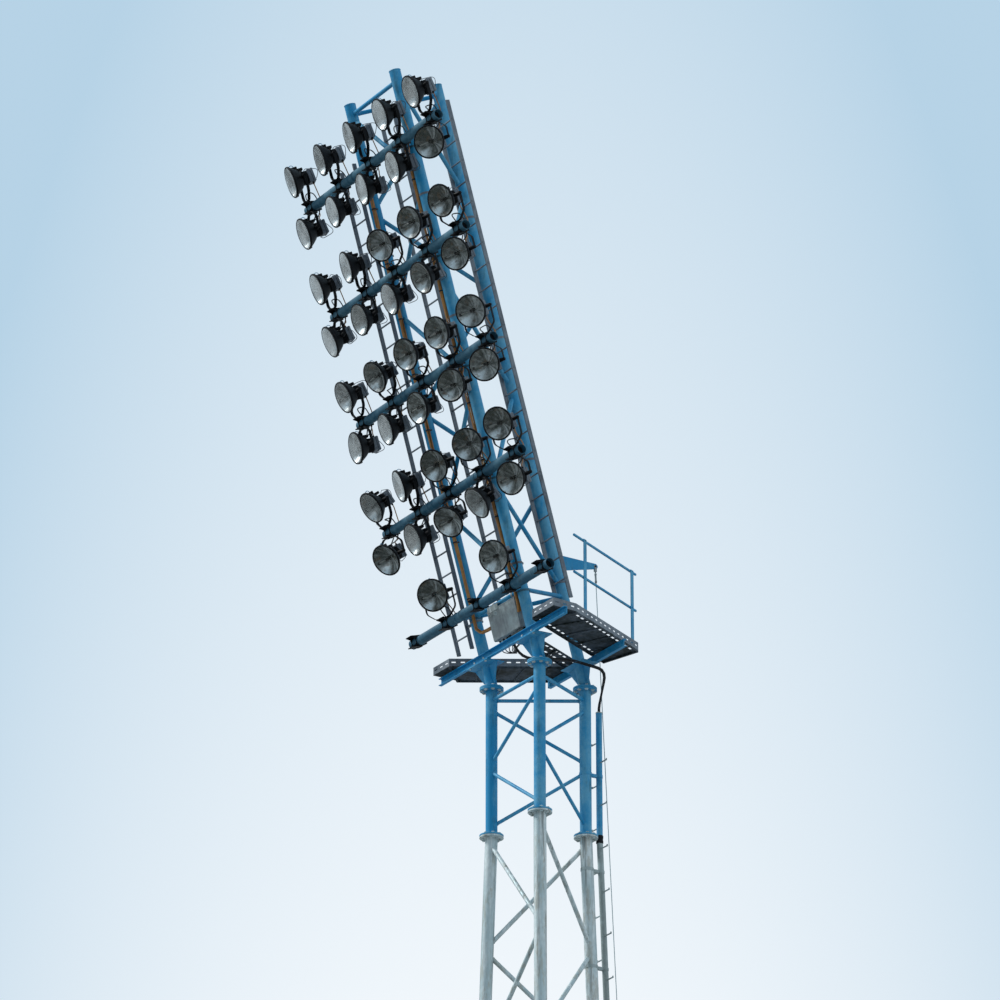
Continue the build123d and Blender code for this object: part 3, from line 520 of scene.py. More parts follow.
class Nodes:
    """A node tree that expressions fill."""

    def __init__(self, tree):
        self.tree = tree

    def feed(self, socket, value):
        if isinstance(value, Wire):
            self.tree.links.new(value.socket, socket)
        else:
            socket.default_value = value

    def node(self, kind, settings=None, inputs=None, output=0):
        """Adds a node: its settings first, then the values or links of its sockets."""
        node = self.tree.nodes.new(kind)
        for key, value in (settings or {}).items():
            setattr(node, key, value)
        for key, value in (inputs or {}).items():
            self.feed(node.inputs[key], value)
        return Wire(self, node.outputs[output])

    def math(self, operation, first, second=0.0):
        return self.node("ShaderNodeMath", {"operation": operation}, {0: first, 1: second})

    def between(self, value, low, high):
        """0 below low, 1 above high and a smooth step between."""
        inputs = {"Value": value, "From Min": low, "From Max": high}
        return self.node("ShaderNodeMapRange", {"interpolation_type": "SMOOTHSTEP"}, inputs)

    def mix(self, factor, first, second):
        """A blend of two colours."""
        return self.node("ShaderNodeMix", {"data_type": "RGBA"}, {0: factor, 6: first, 7: second}, output=2)


class Finish(Nodes):
    """One material: its nodes, and the patterns that the pylon's finishes share."""

    def __init__(self, name):
        self.material = bpy.data.materials.new(name)
        self.material.use_nodes = True
        super().__init__(self.material.node_tree)
        self.shader = self.tree.nodes["Principled BSDF"]
        self.place = self.node("ShaderNodeTexCoord", output="Object")

    def stretched(self, stretch):
        """Object coordinates times a number in each direction."""
        return self.node("ShaderNodeVectorMath", {"operation": "MULTIPLY"}, {0: self.place, 1: stretch})

    def noise(self, scale, detail=4.0, roughness=0.6, stretch=(1, 1, 1)):
        """Cloudy noise of a given fineness, from 0 to 1."""
        inputs = {"Vector": self.stretched(stretch), "Scale": scale, "Detail": detail, "Roughness": roughness}
        return self.node("ShaderNodeTexNoise", {"noise_dimensions": "3D"}, inputs)

    def shade(self):
        """The number that each copy of a repeated thing has for itself."""
        return self.node("ShaderNodeAttribute", {"attribute_name": "shade"}, output="Fac")

    def slope(self):
        """How far a surface faces up, from -1 to 1."""
        normal = self.node("ShaderNodeNewGeometry", output="Normal")
        return self.node("ShaderNodeSeparateXYZ", inputs={0: normal}, output="Z")

    def bump(self, height, strength, distance):
        inputs = {"Height": height, "Strength": strength, "Distance": distance}
        return self.node("ShaderNodeBump", inputs=inputs, output="Normal")

    def done(self, colour, roughness, metallic=0.0, normal=None, **fixed):
        """Feeds the shader and returns the material."""
        self.feed(self.shader.inputs["Base Color"], colour)
        self.feed(self.shader.inputs["Roughness"], roughness)
        self.feed(self.shader.inputs["Metallic"], metallic)
        if normal:
            self.feed(self.shader.inputs["Normal"], normal)
        for key, value in fixed.items():
            self.shader.inputs[key.replace("_", " ")].default_value = value
        return self.material


def opaque(colour, gain=1.0):
    """A colour property as four numbers, brighter or darker by a factor."""
    return tuple(min(1.0, c * gain) for c in colour[:3]) + (1.0,)


def weathered_paint(name, colour, faded, stain, rust_share, roughness, gloss=0.3):
    """Old satin paint: cloudy fading, pale streaks that run down, dark stains, small chips that rust, and dust on
    what faces up."""
    f = Finish(name)
    clouds, blotches, specks = f.noise(2.3, 5.0), f.noise(11.0, 5.0, 0.7), f.noise(70.0, 3.0)
    streaks = f.noise(9.0, stretch=(1.6, 1.6, 0.12))
    fade = f.between(clouds * 0.45 + streaks * 0.3 + blotches * 0.35 + f.shade() * 0.16, 0.52, 0.78)
    paint = f.mix(fade, opaque(colour), opaque(faded))
    dirt = f.between(streaks * 0.6 + f.noise(4.0, 5.0, 0.7) * 0.5, 0.57, 0.76)
    paint = f.mix(dirt * 0.6, paint, opaque(stain))
    chips = f.between(specks * 0.55 + blotches * 0.6, 0.745 - 0.1 * rust_share, 0.8 - 0.1 * rust_share)
    rust = f.mix(specks, (0.09, 0.035, 0.015, 1), (0.24, 0.1, 0.04, 1))
    paint = f.mix(chips * min(1.0, 0.4 + rust_share), paint, rust)
    dust = f.between(f.slope(), 0.45, 1.0) * f.between(blotches, 0.35, 0.75) * 0.35
    paint = f.mix(dust, paint, opaque(faded, 1.2))
    rough = fade * 0.18 + dirt * 0.1 + chips * 0.2 + dust * 0.2 + roughness
    normal = f.bump(specks * 0.5 + blotches * 0.7 - chips * 0.6, 0.35, 0.003)
    return f.done(paint, rough, 0.0, normal, Specular_IOR_Level=gloss)


def weathered_zinc(name, colour, pale, stain, patina):
    """Old galvanising: crystal patches, chalky runs, tan patches, grey stains running down and a little rust."""
    f = Finish(name)
    inputs = {"Vector": f.stretched((1, 1, 0.6)), "Scale": 26.0}
    crystals = f.node("ShaderNodeTexVoronoi", {"feature": "F1"}, inputs, output="Distance")
    clouds, fine = f.noise(1.7, 5.0), f.noise(45.0, 3.0)
    streaks = f.noise(8.0, 5.0, 0.65, (1.8, 1.8, 0.1))
    chalk = f.between(clouds * 0.4 + streaks * 0.55 + f.shade() * 0.12, 0.47, 0.64)
    zinc = f.mix(chalk, opaque(colour), opaque(pale))
    zinc = f.mix(crystals * 0.35, zinc, opaque(colour, 0.72))
    patches = f.between(f.noise(7.0, 6.0, 0.72, (1.5, 1.5, 0.4)), 0.5, 0.6)
    zinc = f.mix(patches * 0.5, zinc, opaque(patina))
    runs = f.between(f.noise(6.0, 5.0, 0.7, (2.0, 2.0, 0.07)), 0.5, 0.68)
    zinc = f.mix(runs * 0.75, zinc, opaque(stain))
    rust = f.between(fine * 0.45 + streaks * 0.65, 0.74, 0.82)
    zinc = f.mix(rust * 0.55, zinc, (0.2, 0.1, 0.05, 1))
    rough = chalk * 0.2 + runs * 0.12 + crystals * 0.06 + 0.52
    metallic = 0.35 - chalk * 0.2 - runs * 0.1
    return f.done(zinc, rough, metallic, f.bump(fine * 0.5 + crystals * 0.3 + streaks * 0.3, 0.25, 0.002))


def dusty_glass_with_painted_sky(name, colour, dull_colour):
    """Clear domed glass with a thin film of dirt, and a painted reflection of the open sky that makes lamps with a
    higher shade number paler and less clear."""
    f = Finish(name)
    film = f.between(f.noise(7.0, 5.0, 0.65) * 0.6 + f.noise(38.0, 3.0) * 0.4, 0.42, 0.66)
    # Painted sky reflection: lenses with a higher shade number are paler and less clear, more so in cloudy
    # patches.
    painted_sky_reflection = f.shade()
    cloud = f.between(f.noise(3.2, stretch=(1.0, 1.0, 0.5)), 0.35, 0.6)
    f.feed(f.shader.inputs["Alpha"], film * 0.07 + painted_sky_reflection * cloud * 0.24 + painted_sky_reflection * 0.07 + 0.05)
    tint = f.mix(painted_sky_reflection, opaque(dull_colour), opaque(colour))
    return f.done(tint, film * 0.3 + 0.16, 0.0, f.bump(f.noise(60.0, 2.0, 0.5), 0.05, 0.002), IOR=1.5)


def reflector_metal(name, colour, dull_colour):
    """Faceted reflector: its shade number, painted sky reflections and painted shade, runs from dull grey-green to
    bright metal, with brown spots lying on it.
    """
    f = Finish(name)
    # The shade number's pattern is painted: bright where sky reflections are painted, dull where shade is painted.
    tone = f.between(f.shade() + f.noise(16.0, 4.0, 0.65) * 0.7 - 0.35, 0.05, 0.9)
    spots = f.between(f.noise(11.0, 4.0, 0.65), 0.54, 0.66)
    metal = f.mix(spots * 0.6, f.mix(tone, opaque(dull_colour), opaque(colour)), (0.13, 0.085, 0.045, 1))
    normal = f.bump(f.noise(55.0, 3.0), 0.2, 0.003)
    return f.done(metal, 0.5 - tone * 0.2, tone * 0.35 + 0.1, normal, Specular_IOR_Level=0.25)


def sheath(name, colour, faded):
    """Faded cable sheath with grime and pale scuffs."""
    f = Finish(name)
    wear = f.between(f.noise(14.0) * 0.7 + f.shade() * 0.35, 0.35, 0.8)
    grime = f.between(f.noise(6.0, stretch=(1, 1, 0.4)), 0.5, 0.72)
    tone = f.mix(grime * 0.55, f.mix(wear, opaque(colour), opaque(faded)), opaque(colour, 0.35))
    return f.done(tone, wear * 0.15 + grime * 0.15 + 0.5, 0.0, f.bump(f.noise(90.0, 2.0, 0.5), 0.15, 0.001))


def wire_rope(name, colour):
    """Steel rope: slanting strand lines, darker between them."""
    f = Finish(name)
    slant = {"Vector": f.place, "Rotation": (0, radians(55), 0)}
    lay = f.node("ShaderNodeMapping", {"vector_type": "POINT"}, slant)
    strands = f.node("ShaderNodeTexWave", {"wave_type": "BANDS", "bands_direction": "X"},
                     {"Vector": lay, "Scale": 60.0, "Distortion": 0.4})
    tone = f.mix(f.between(strands, 0.1, 0.6), opaque(colour, 0.35), opaque(colour))
    return f.done(tone, 0.45 + f.noise(20.0, roughness=0.55) * 0.2, 0.6, f.bump(strands, 0.5, 0.002))


def baked_glass(name, colour):
    """Milky lamp glass, darker in hazy patches."""
    f = Finish(name)
    haze = f.between(f.noise(30.0, 3.0, 0.6) + f.shade() * 0.3, 0.4, 0.9)
    tone = f.mix(haze, opaque(colour), opaque(colour, 0.55))
    return f.done(tone, haze * 0.2 + 0.15, 0.0, f.bump(haze, 0.1, 0.001))


# Each finish's maker, material name, colours and numbers
LOOKS = {
    BLUE: (weathered_paint, "weathered_blue_paint", "blue blue_faded blue_stain", 0.25, 0.42, 0.22),
    # The crossbar look: the blue paint darkened as painted shade.
    "sooty_blue": (weathered_paint, "sooty_blue_paint", "crossbar crossbar_faded lead", 0.4, 0.5, 0.2),
    ZINC: (weathered_zinc, "weathered_zinc", "zinc zinc_pale zinc_stain zinc_tan"),
    BLACK: (weathered_paint, "weathered_black_paint", "black black_faded lead", 0.2, 0.5, 0.1),
    SLATE: (weathered_paint, "weathered_slate_paint", "slate slate_faded black", 0.15, 0.5, 0.25),
    "box_steel": (weathered_paint, "weathered_box_paint", "box zinc box_stain", 0.35, 0.45),
    "dark_grating": (weathered_paint, "weathered_dark_grating", "grating slate lead", 0.3, 0.6, 0.15),
    "grey_painted_steel": (weathered_paint, "weathered_pole_paint", "pole zinc slate", 0.3, 0.42),
    "wire_steel": (weathered_zinc, "dull_wire_steel", "wire zinc zinc_stain zinc_stain"),
    "rope": (wire_rope, "steel_rope", "zinc"),
    # Lens glass: a film of dirt and a painted reflection of the open sky.
    GLASS: (dusty_glass_with_painted_sky, "dusty_lens_glass", "glass glass_dirt"),
    # Reflector: painted sky reflections and painted shade.
    "reflector": (reflector_metal, "faceted_reflector", "reflector reflector_dirt"),
    "capsule": (baked_glass, "lamp_capsule_glass", "capsule"),
    SHEATH: (sheath, "orange_brown_sheath", "cable cable_faded"),
    "lead": (sheath, "black_sheath", "lead black_faded"),
}
FINISHES = {}


def finish(name):
    """The finish of that name, made when it is first asked for."""
    if name not in FINISHES:
        maker, label, colours, *numbers = LOOKS[name]
        chosen = [getattr(bpy.context.scene.pylon_colours, key) for key in colours.split()]
        FINISHES[name] = maker(label, *chosen, *numbers)
    return FINISHES[name]


def colour(name, description, value):
    """A colour that a user may change."""
    return bpy.props.FloatVectorProperty(name=name, description=description, default=value, size=3,
                                         min=0.0, max=1.0, subtype="COLOR")


def length(name, description, value):
    """A length that a user may change, in metres."""
    return bpy.props.FloatProperty(name=name, description=description, default=value, min=0.0, unit="LENGTH")


def number(name, description, value, low, high):
    """A whole number that a user may change."""
    return bpy.props.IntProperty(name=name, description=description, default=value, min=low, max=high)


class PylonSizes(bpy.types.PropertyGroup):
    """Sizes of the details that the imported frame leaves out"""

    leg_sides: number("Leg sides", "Flat sides of the leg tubes", 32, 8, 96)
    bar_sides: number("Bar sides", "Flat sides of the lattice bars", 14, 6, 48)
    lamp_sides: number("Lamp sides", "Flat sides of the lamp housings", 40, 12, 96)
    facet_count: number("Reflector facets", "Facets round a reflector", 36, 8, 96)
    bolt_size: length("Flange bolt", "Diameter of the flange bolts", 0.024)
    bolt_count: number("Flange bolts", "Bolts round a flange", 8, 4, 24)
    anchor_size: length("Anchor bolt", "Diameter of the anchor bolts", 0.036)
    reflector_depth: length("Reflector depth", "Depth of the reflector behind the glass", 0.125)
    capsule_length: length("Lamp tube", "Length of the light source", 0.155)
    cable_d: length("Cable", "Diameter of one cable in a bundle", 0.016)
    lead_d: length("Lamp lead", "Diameter of the lead to a lamp", 0.014)
    slot_length: length("Slot", "Length of the slots in the walkways", 0.07)
    slot_pitch: length("Slot pitch", "Distance between walkway slots", 0.12)
    slot_width: length("Slot width", "Width of the slots in the walkways", 0.034)


class PylonColours(bpy.types.PropertyGroup):
    """Colours of the finishes"""

    blue: colour("Blue paint", "Paint of the head and platform", (0.010, 0.245, 0.500))
    blue_faded: colour("Faded blue", "Chalked blue paint", (0.110, 0.370, 0.560))
    # Crossbar paint: the blue paint darkened all over as painted shade, with its own faded tone.
    crossbar: colour("Crossbar paint", "Sooty paint of the crossbars", (0.018, 0.090, 0.150))
    crossbar_faded: colour("Faded crossbar", "Chalked paint of the crossbars", (0.075, 0.190, 0.265))
    blue_stain: colour("Blue stain", "Grime on the blue paint", (0.010, 0.075, 0.130))
    zinc: colour("Zinc", "Galvanised steel", (0.410, 0.520, 0.545))
    zinc_pale: colour("Chalky zinc", "Chalked galvanising", (0.690, 0.790, 0.815))
    zinc_stain: colour("Zinc stain", "Grime on the galvanising", (0.125, 0.135, 0.130))
    zinc_tan: colour("Zinc patina", "Tan patches on the galvanising", (0.330, 0.330, 0.270))
    black: colour("Black paint", "Lamp housings", (0.004, 0.005, 0.006))
    black_faded: colour("Faded black", "Chalked black paint", (0.012, 0.014, 0.017))
    slate: colour("Slate paint", "Ladders, gear boxes and toe boards", (0.095, 0.120, 0.150))
    slate_faded: colour("Faded slate", "Chalked slate paint", (0.210, 0.255, 0.295))
    box: colour("Box paint", "Junction box", (0.200, 0.235, 0.255))
    box_stain: colour("Box stain", "Runs on the junction box", (0.100, 0.085, 0.070))
    grating: colour("Grating", "Walkways", (0.008, 0.014, 0.013))
    pole: colour("Pole paint", "Climbing pole", (0.235, 0.290, 0.290))
    # The glass colour is the pale tone of the painted sky reflection on the lenses.
    glass: colour("Glass", "Lens glass", (0.720, 0.800, 0.830))
    glass_dirt: colour("Glass dirt", "Film on the lenses", (0.150, 0.170, 0.150))
    # Reflector colours: bright metal where sky reflections are painted, and a dark one for the painted shade
    # inside the reflectors.
    reflector: colour("Reflector", "Bright reflector", (0.780, 0.870, 0.900))
    reflector_dirt: colour("Reflector dust", "Dust in the reflectors", (0.036, 0.046, 0.042))
    capsule: colour("Lamp glass", "Light source", (0.210, 0.235, 0.225))
    cable: colour("Cable", "Orange-brown sheath", (0.300, 0.125, 0.022))
    cable_faded: colour("Faded cable", "Sun-faded sheath", (0.500, 0.255, 0.070))
    lead: colour("Black lead", "Black sheath", (0.010, 0.011, 0.013))
    wire: colour("Wire", "Steel fittings of the taut line", (0.210, 0.225, 0.235))
    floor: colour("Floor", "Plain pale floor", (0.800, 0.830, 0.850))
    sky_low: colour("Low sky", "Background near the horizon", (0.900, 0.945, 0.982))
    sky_high: colour("High sky", "Background higher up", (0.472, 0.650, 0.795))


class PylonPart:
    """What the operators of the pylon's pieces share"""

    bl_options = {"REGISTER", "UNDO"}

    def execute(self, context):
        self.build(context.scene.pylon_sizes)
        return {"FINISHED"}


class PYLON_OT_feet(PylonPart, bpy.types.Operator):
    """Anchor bolts with nuts and washers on the foot plates"""

    bl_idname = "pylon.feet"
    bl_label = "Feet"

    def build(self, sizes):
        nuts, size = Shape(), sizes.anchor_size
        one = bolt(size, FOOT_PLATE)
        spread = np.array([[x, y, 0] for x in (-0.18, 0.18) for y in (-0.18, 0.18)])
        rib = [[-0.08, 0.0], [-0.25, 0.0], [-0.25, 0.02], [-0.086, 0.24], [-0.08, 0.24]]
        for leg in LEGS:
            foot = leg_point(leg, 0.0)
            tops = foot + spread + UP * FOOT_PLATE
            nuts.repeat(one, level_frames(tops, speckle(4, 3)))
            nuts.repeat(one, level_frames(tops + UP * size * 0.6, speckle(4, 4)))
            round_bars(nuts, foot + spread + UP * 0.004, tops + UP * size * 1.9, size / 2, 14)
            for outward in unit(np.array([[1, 1, 0], [-1, 1, 0], [1, -1, 0], [-1, -1, 0]], float)):
                half = np.cross(UP, outward) * 0.006
                nuts.add(*carry(np.array([-half, half]) + foot + UP * FOOT_PLATE, rib))
        make_piece("anchor_bolts_and_ribs", nuts, ZINC)


class PYLON_OT_lower_column(PylonPart, bpy.types.Operator):
    """Galvanised legs in bolted sections that spread towards the ground, with zigzag bracing"""

    bl_idname = "pylon.lower_column"
    bl_label = "Lower column"

    def build(self, sizes):
        legs, bolts, bars = Shape(), Shape(), Shape()
        levels = [FOOT_PLATE + SECTION * i for i in range(SECTIONS + 1)]
        for n, leg in enumerate(LEGS):
            bottom, top = leg_point(leg, levels[0]), leg_point(leg, TAPER_TOP)
            path = bottom + (top - bottom) * np.linspace(0, 1, 33)[:, None]
            legs.add(*carry(path, circle(LOWER_LEG_R, sizes.leg_sides), Y), shade=0.2 * n + 0.3)
            weld(legs, leg_point(leg, FOOT_PLATE + 0.004), UP, LOWER_LEG_R)
            for i, z in enumerate(levels[1:]):
                centre, bead = leg_point(leg, z), UP * (FLANGE_T + 0.003)
                flange(legs, centre, z - FLANGE_T, 0.6)
                if i < SECTIONS - 1:
                    flange(legs, centre, z + JOINT_GAP, 0.4)
                weld(legs, centre - bead, UP, LOWER_LEG_R)
                weld(legs, centre + bead, UP, LOWER_LEG_R if i < SECTIONS - 1 else LEG_R)
                flange_bolts(bolts, centre, sizes)
        for i in range(SECTIONS):
            self.zigzag(bars, sizes, levels[i] + FLANGE_T + 0.045, levels[i + 1] - FLANGE_T - 0.045, i)
        make_piece("lower_column_legs", legs, ZINC, [f"lower_legs_{i + 1}" for i in range(SECTIONS)])
        make_piece("lower_column_bolts", bolts, ZINC)
        make_piece("lower_column_bracing", bars, ZINC, [f"lower_bracing_{i + 1}" for i in range(SECTIONS)])

    def zigzag(self, bars, sizes, low, high, section):
        """Diagonals between two levels, as many as make each panel about as tall as it is wide."""
        count = max(1, round((high - low) / (1.04 * face_width((low + high) / 2))))
        joints = [high - (high - low) * k / count for k in range(count + 1)]
        for first, second in FACES:
            for k in range(count):
                upper, lower = (second, first) if k % 2 else (first, second)
                top, bottom = leg_point(upper, joints[k] - 0.045), leg_point(lower, joints[k + 1] + 0.045)
                shade = 0.2 + 0.6 * ((k * 7 + section * 3) % 5) / 5
                welded_bar(bars, top, bottom, BRACE_R, sizes.bar_sides, shade, 0.105)


class PYLON_OT_straight_column(PylonPart, bpy.types.Operator):
    """Blue straight section of the column between its flanges"""

    bl_idname = "pylon.straight_column"
    bl_label = "Straight column section"

    def build(self, sizes):
        legs, bolts, bars = Shape(), Shape(), Shape()
        for n, leg in enumerate(LEGS):
            path = np.array([leg_point(leg, z) for z in np.linspace(TAPER_TOP, DECK, 9)])
            legs.add(*carry(path, circle(LEG_R, sizes.leg_sides), Y), shade=0.3 * n + 0.2)
            flange(legs, path[0], TAPER_TOP + JOINT_GAP, 0.7)
            flange(legs, path[0], DECK - FLANGE_T, 0.4)
            flange_bolts(bolts, leg_point(leg, DECK), sizes)
        for first, second in FACES:
            # Each bar's two legs and how far its ends are below the deck: a level one and two diagonals
            for one, other, z_one, z_other in ((first, second, 0.16, 0.16), (second, first, 0.3, 1.05),
                                               (first, second, 1.17, 1.93)):
                start, end = leg_point(one, DECK - z_one), leg_point(other, DECK - z_other)
                welded_bar(bars, start, end, 0.024, sizes.bar_sides, 0.5, 0.085)
        make_piece("straight_column_legs", legs, BLUE, ["straight_legs"])
        make_piece("straight_column_bolts", bolts, ZINC)
        make_piece("straight_column_bracing", bars, BLUE, ["straight_bracing"])


class PYLON_OT_head_frame(PylonPart, bpy.types.Operator):
    """Leaning blue legs with caps, their foot plates and their diagonal bracing"""

    bl_idname = "pylon.head_frame"
    bl_label = "Head frame"

    def build(self, sizes):
        legs, foot, bars, bolts = Shape(), Shape(), Shape(), Shape()
        for n, leg in enumerate(LEGS):
            self.tube(legs, leg, sizes.leg_sides, 0.25 * n + 0.3)
            self.seat(foot, bolts, leg)
        step, panels = 0.06, 5
        low, high = 0.9 + step, HEAD_LENGTH - 0.15
        panel = (high - low - step) / panels
        for first, second in FACES:
            runs = [(head_leg(first, a), head_leg(second, a)) for a in (low, high)]
            for k in range(panels):
                lower, upper = (first, second) if k % 2 else (second, first)
                start = low + step + panel * k
                runs.append((head_leg(lower, start + step), head_leg(upper, start + panel - step)))
            for k, (start, end) in enumerate(runs):
                welded_bar(bars, start, end, BRACE_R, sizes.bar_sides, 0.2 + 0.12 * k, 0.1)
        make_piece("head_leg_tubes", legs, BLUE, ["head_legs"])
        make_piece("head_foot_seats", foot, BLUE, ["head_foot_frame"])
        make_piece("head_foot_bolts", bolts, ZINC)
        make_piece("head_lattice_bars", bars, BLUE, ["head_bracing"])

    def tube(self, shape, leg, sides, shade):
        """A leaning tube whose lowest ring is slid along the lean until it is level."""
        start, top = HEAD_FOOT[leg], head_leg(leg, HEAD_LENGTH)
        path = start + (top - start) * np.linspace(0.0, 1, 25)[:, None]
        points, faces = carry(path, circle(LEG_R, sides), Y)
        lift = (points[:sides, 2] - start[2]) / HEAD_W[2]
        points[:sides] -= lift[:, None] * HEAD_W
        shape.add(points, faces, shade)
        weld(shape, start + UP * 0.002, UP, LEG_R)
        weld(shape, top - HEAD_W * 0.008, HEAD_W, LEG_R * 0.98)

    def seat(self, shape, bolts, leg):
        """A flange, a short neck, a level plate under the beam and a splayed web between them."""
        base, wide = leg_point(leg, DECK), 0.28
        flange(shape, base, DECK + JOINT_GAP)
        neck = [(0, 0), (LEG_R, 0), (LEG_R, STUB - 0.002), (0, STUB - 0.002)]
        shape.repeat(turned(neck, 32), level_frames([base]))
        side = 1.0 if leg == "rear" else -1.0
        back = beam_back(leg)
        near, far = back + side * 0.05, back - side * (2 * LEG_R + 0.06)
        z = DECK + BEAM_LEVEL - BEAM_HALF - SEAT_T
        blocks(shape, [[base[0] - wide, near, z]], [[base[0] + wide, far, z + SEAT_T]], bevel=0.002)
        rise = (z - DECK - FLANGE_T) / cos(TILT)
        web = plate([[-LEG_R, 0], [LEG_R, 0], [wide, rise], [-wide, rise]], SEAT_T)
        web_up = np.cross(HEAD_V, X)
        shape.repeat(web, np.stack([X, web_up, np.cross(X, web_up), base + UP * FLANGE_T]))
        for x in (-0.2, 0.2):
            bolts.repeat(bolt(0.016, 0.01), facing(-UP, X, [base[0] + x, (near + back) / 2, z]))


class PYLON_OT_crossbars(PylonPart, bpy.types.Operator):
    """Open blue crossbars on short arms, with clamp bands, saddles and U bolts"""

    bl_idname = "pylon.crossbars"
    bl_label = "Crossbars"

    def build(self, sizes):
        tubes, arms, bands, saddles = Shape(), Shape(), Shape(), Shape()
        r, inner, edge = CROSSBAR_FLAT, CROSSBAR_FLAT - 0.006, 0.001
        steps = np.linspace(edge, CROSSBAR_LENGTH - edge, 11)
        profile = [(inner, 0), (r - edge, 0), *((r, s) for s in steps)]
        profile += [(r - edge, CROSSBAR_LENGTH), (inner, CROSSBAR_LENGTH), (inner, 0)]
        one_tube = turned(profile, 32)
        for row in range(ROWS):
            along = crossbar_along(row)
            start = head(CROSSBAR_SHIFT + CROSSBAR_LENGTH / 2, along, CROSSBAR_FORWARD)
            tubes.repeat(one_tube, [HEAD_V, HEAD_W, -X, start], 0.2 + 0.15 * row)
            for leg in ("left", "right"):
                x = HEAD_FOOT[leg][0]
                arm = [x - 0.045, x + 0.045, along - 0.045, along + 0.045, 0, CROSSBAR_FORWARD - r * 0.96]
                head_blocks(arms, [arm], 0.006)
                for lift in (-0.062, 0.062):
                    clasp(bands, head(x, along + lift, 0.0), HEAD_W, HEAD_V, LEG_R, 0.028, 0.006)
                for shift in (-0.06, 0.06):
                    clasp(bands, head(x + shift, along, CROSSBAR_FORWARD), X, HEAD_V, r, 0.024, 0.005)
            for place in range(PLACES):
                self.saddle(saddles, lamp_x(place), along, r)
        # The crossbar tubes and clamp bands wear the blue paint darkened as painted shade.
        make_piece("crossbar_tubes", tubes, BLUE, ["crossbars"], "sooty_blue")
        make_piece("crossbar_stub_arms", arms, BLUE, ["crossbar_arms"])
        make_piece("clamp_bands", bands, BLUE, look="sooty_blue")
        make_piece("saddle_brackets", saddles, BLACK, ["saddles"])

    def saddle(self, shape, x, along, r):
        """A plate above and below the bar, forked cheeks on both sides of it and two U bolts round its back."""
        middle, outer_r, bend_r = CROSSBAR_FORWARD + SADDLE_FORWARD, CROSSBAR_FLAT + SADDLE_T, r + 0.006
        for side in (1, -1):
            low, high = sorted((along + side * r, along + side * outer_r))
            head_blocks(shape, [[x - 0.065, x + 0.065, low, high, middle - 0.075, middle + 0.075]], 0.002)
        half = np.array([[-0.088, -0.06], [-0.02, -0.0785], [0.145, -0.0785], [0.15, -0.068], [0.092, -0.045],
                         [0.078, -0.02]])
        cheek = plate(np.vstack([half, (half * [1, -1])[::-1]]), 0.006)
        for offset in (-0.062, 0.062):
            spot = head(x + offset, along, CROSSBAR_FORWARD)
            shape.repeat(cheek, [HEAD_V, HEAD_W, np.cross(HEAD_V, HEAD_W), spot])
        angle = np.linspace(pi / 2, 3 * pi / 2, 11)
        up = bend_r * np.array([1, *np.sin(angle), -1])
        forward = np.array([0.03, *(bend_r * np.cos(angle)), 0.03])
        for offset in (-0.03, 0.03):
            path = head(x + offset, along + up, CROSSBAR_FORWARD + forward)
            shape.add(*carry(path, circle(0.006, 6), X))


def lamp_spots():
    """Row, place, side, turn and drop of every lamp, the angles in radians."""
    spots = [(row, place, side, radians(turn), radians(drop))
             for (row, side), aims in LAMP_AIMS.items() for place, (turn, drop) in aims.items()]
    return np.array(spots)


def lamp_frames(spots):
    """Frames on the lens faces: Z along the beam, X along the tilting axis, from the turn and the drop."""
    row, place, side, turn, drop = spots.T[:, :, None]
    axis = np.cos(turn) * X - np.sin(turn) * HEAD_V
    aim = (np.sin(turn) * X + np.cos(turn) * HEAD_V) * np.cos(drop) - HEAD_W * np.sin(drop)
    rise = np.where(side > 0, UPPER_RISE, -LOWER_RISE)
    pivot = head(lamp_x(place), crossbar_along(row) + rise, CROSSBAR_FORWARD + SADDLE_FORWARD)[:, 0]
    return np.stack([axis, np.cross(aim, axis), aim, pivot + aim * PIVOT_BACK], axis=1)


def yoke_frames(spots):
    """Frames at the yokes' feet: X along the tilting axis and Y up the yoke."""
    row, place, side, turn, _ = spots.T[:, :, None]
    axis = np.cos(turn) * X - np.sin(turn) * HEAD_V
    seat = crossbar_along(row) + side * (CROSSBAR_FLAT + SADDLE_T)
    base = head(lamp_x(place), seat, CROSSBAR_FORWARD + SADDLE_FORWARD)[:, 0]
    up = side * HEAD_W
    return np.stack([axis, up, np.cross(axis, up), base], axis=1)


def lens_painted_sky_reflection(spots):
    """How strongly a reflection of the open sky is painted on a lens, from 0 to 1: those turned to the left get
    more, as they face the open sky.
    """
    return np.clip(0.1 - np.degrees(spots[:, 3]) / 15, 0, 1)


def swell(angle, centre, width):
    """A smooth hump over an angle, in degrees: 1 at the centre, falling as a bell of the given width."""
    away = (np.degrees(angle) - centre + 180) % 360 - 180
    return np.exp(-(away / width) ** 2)


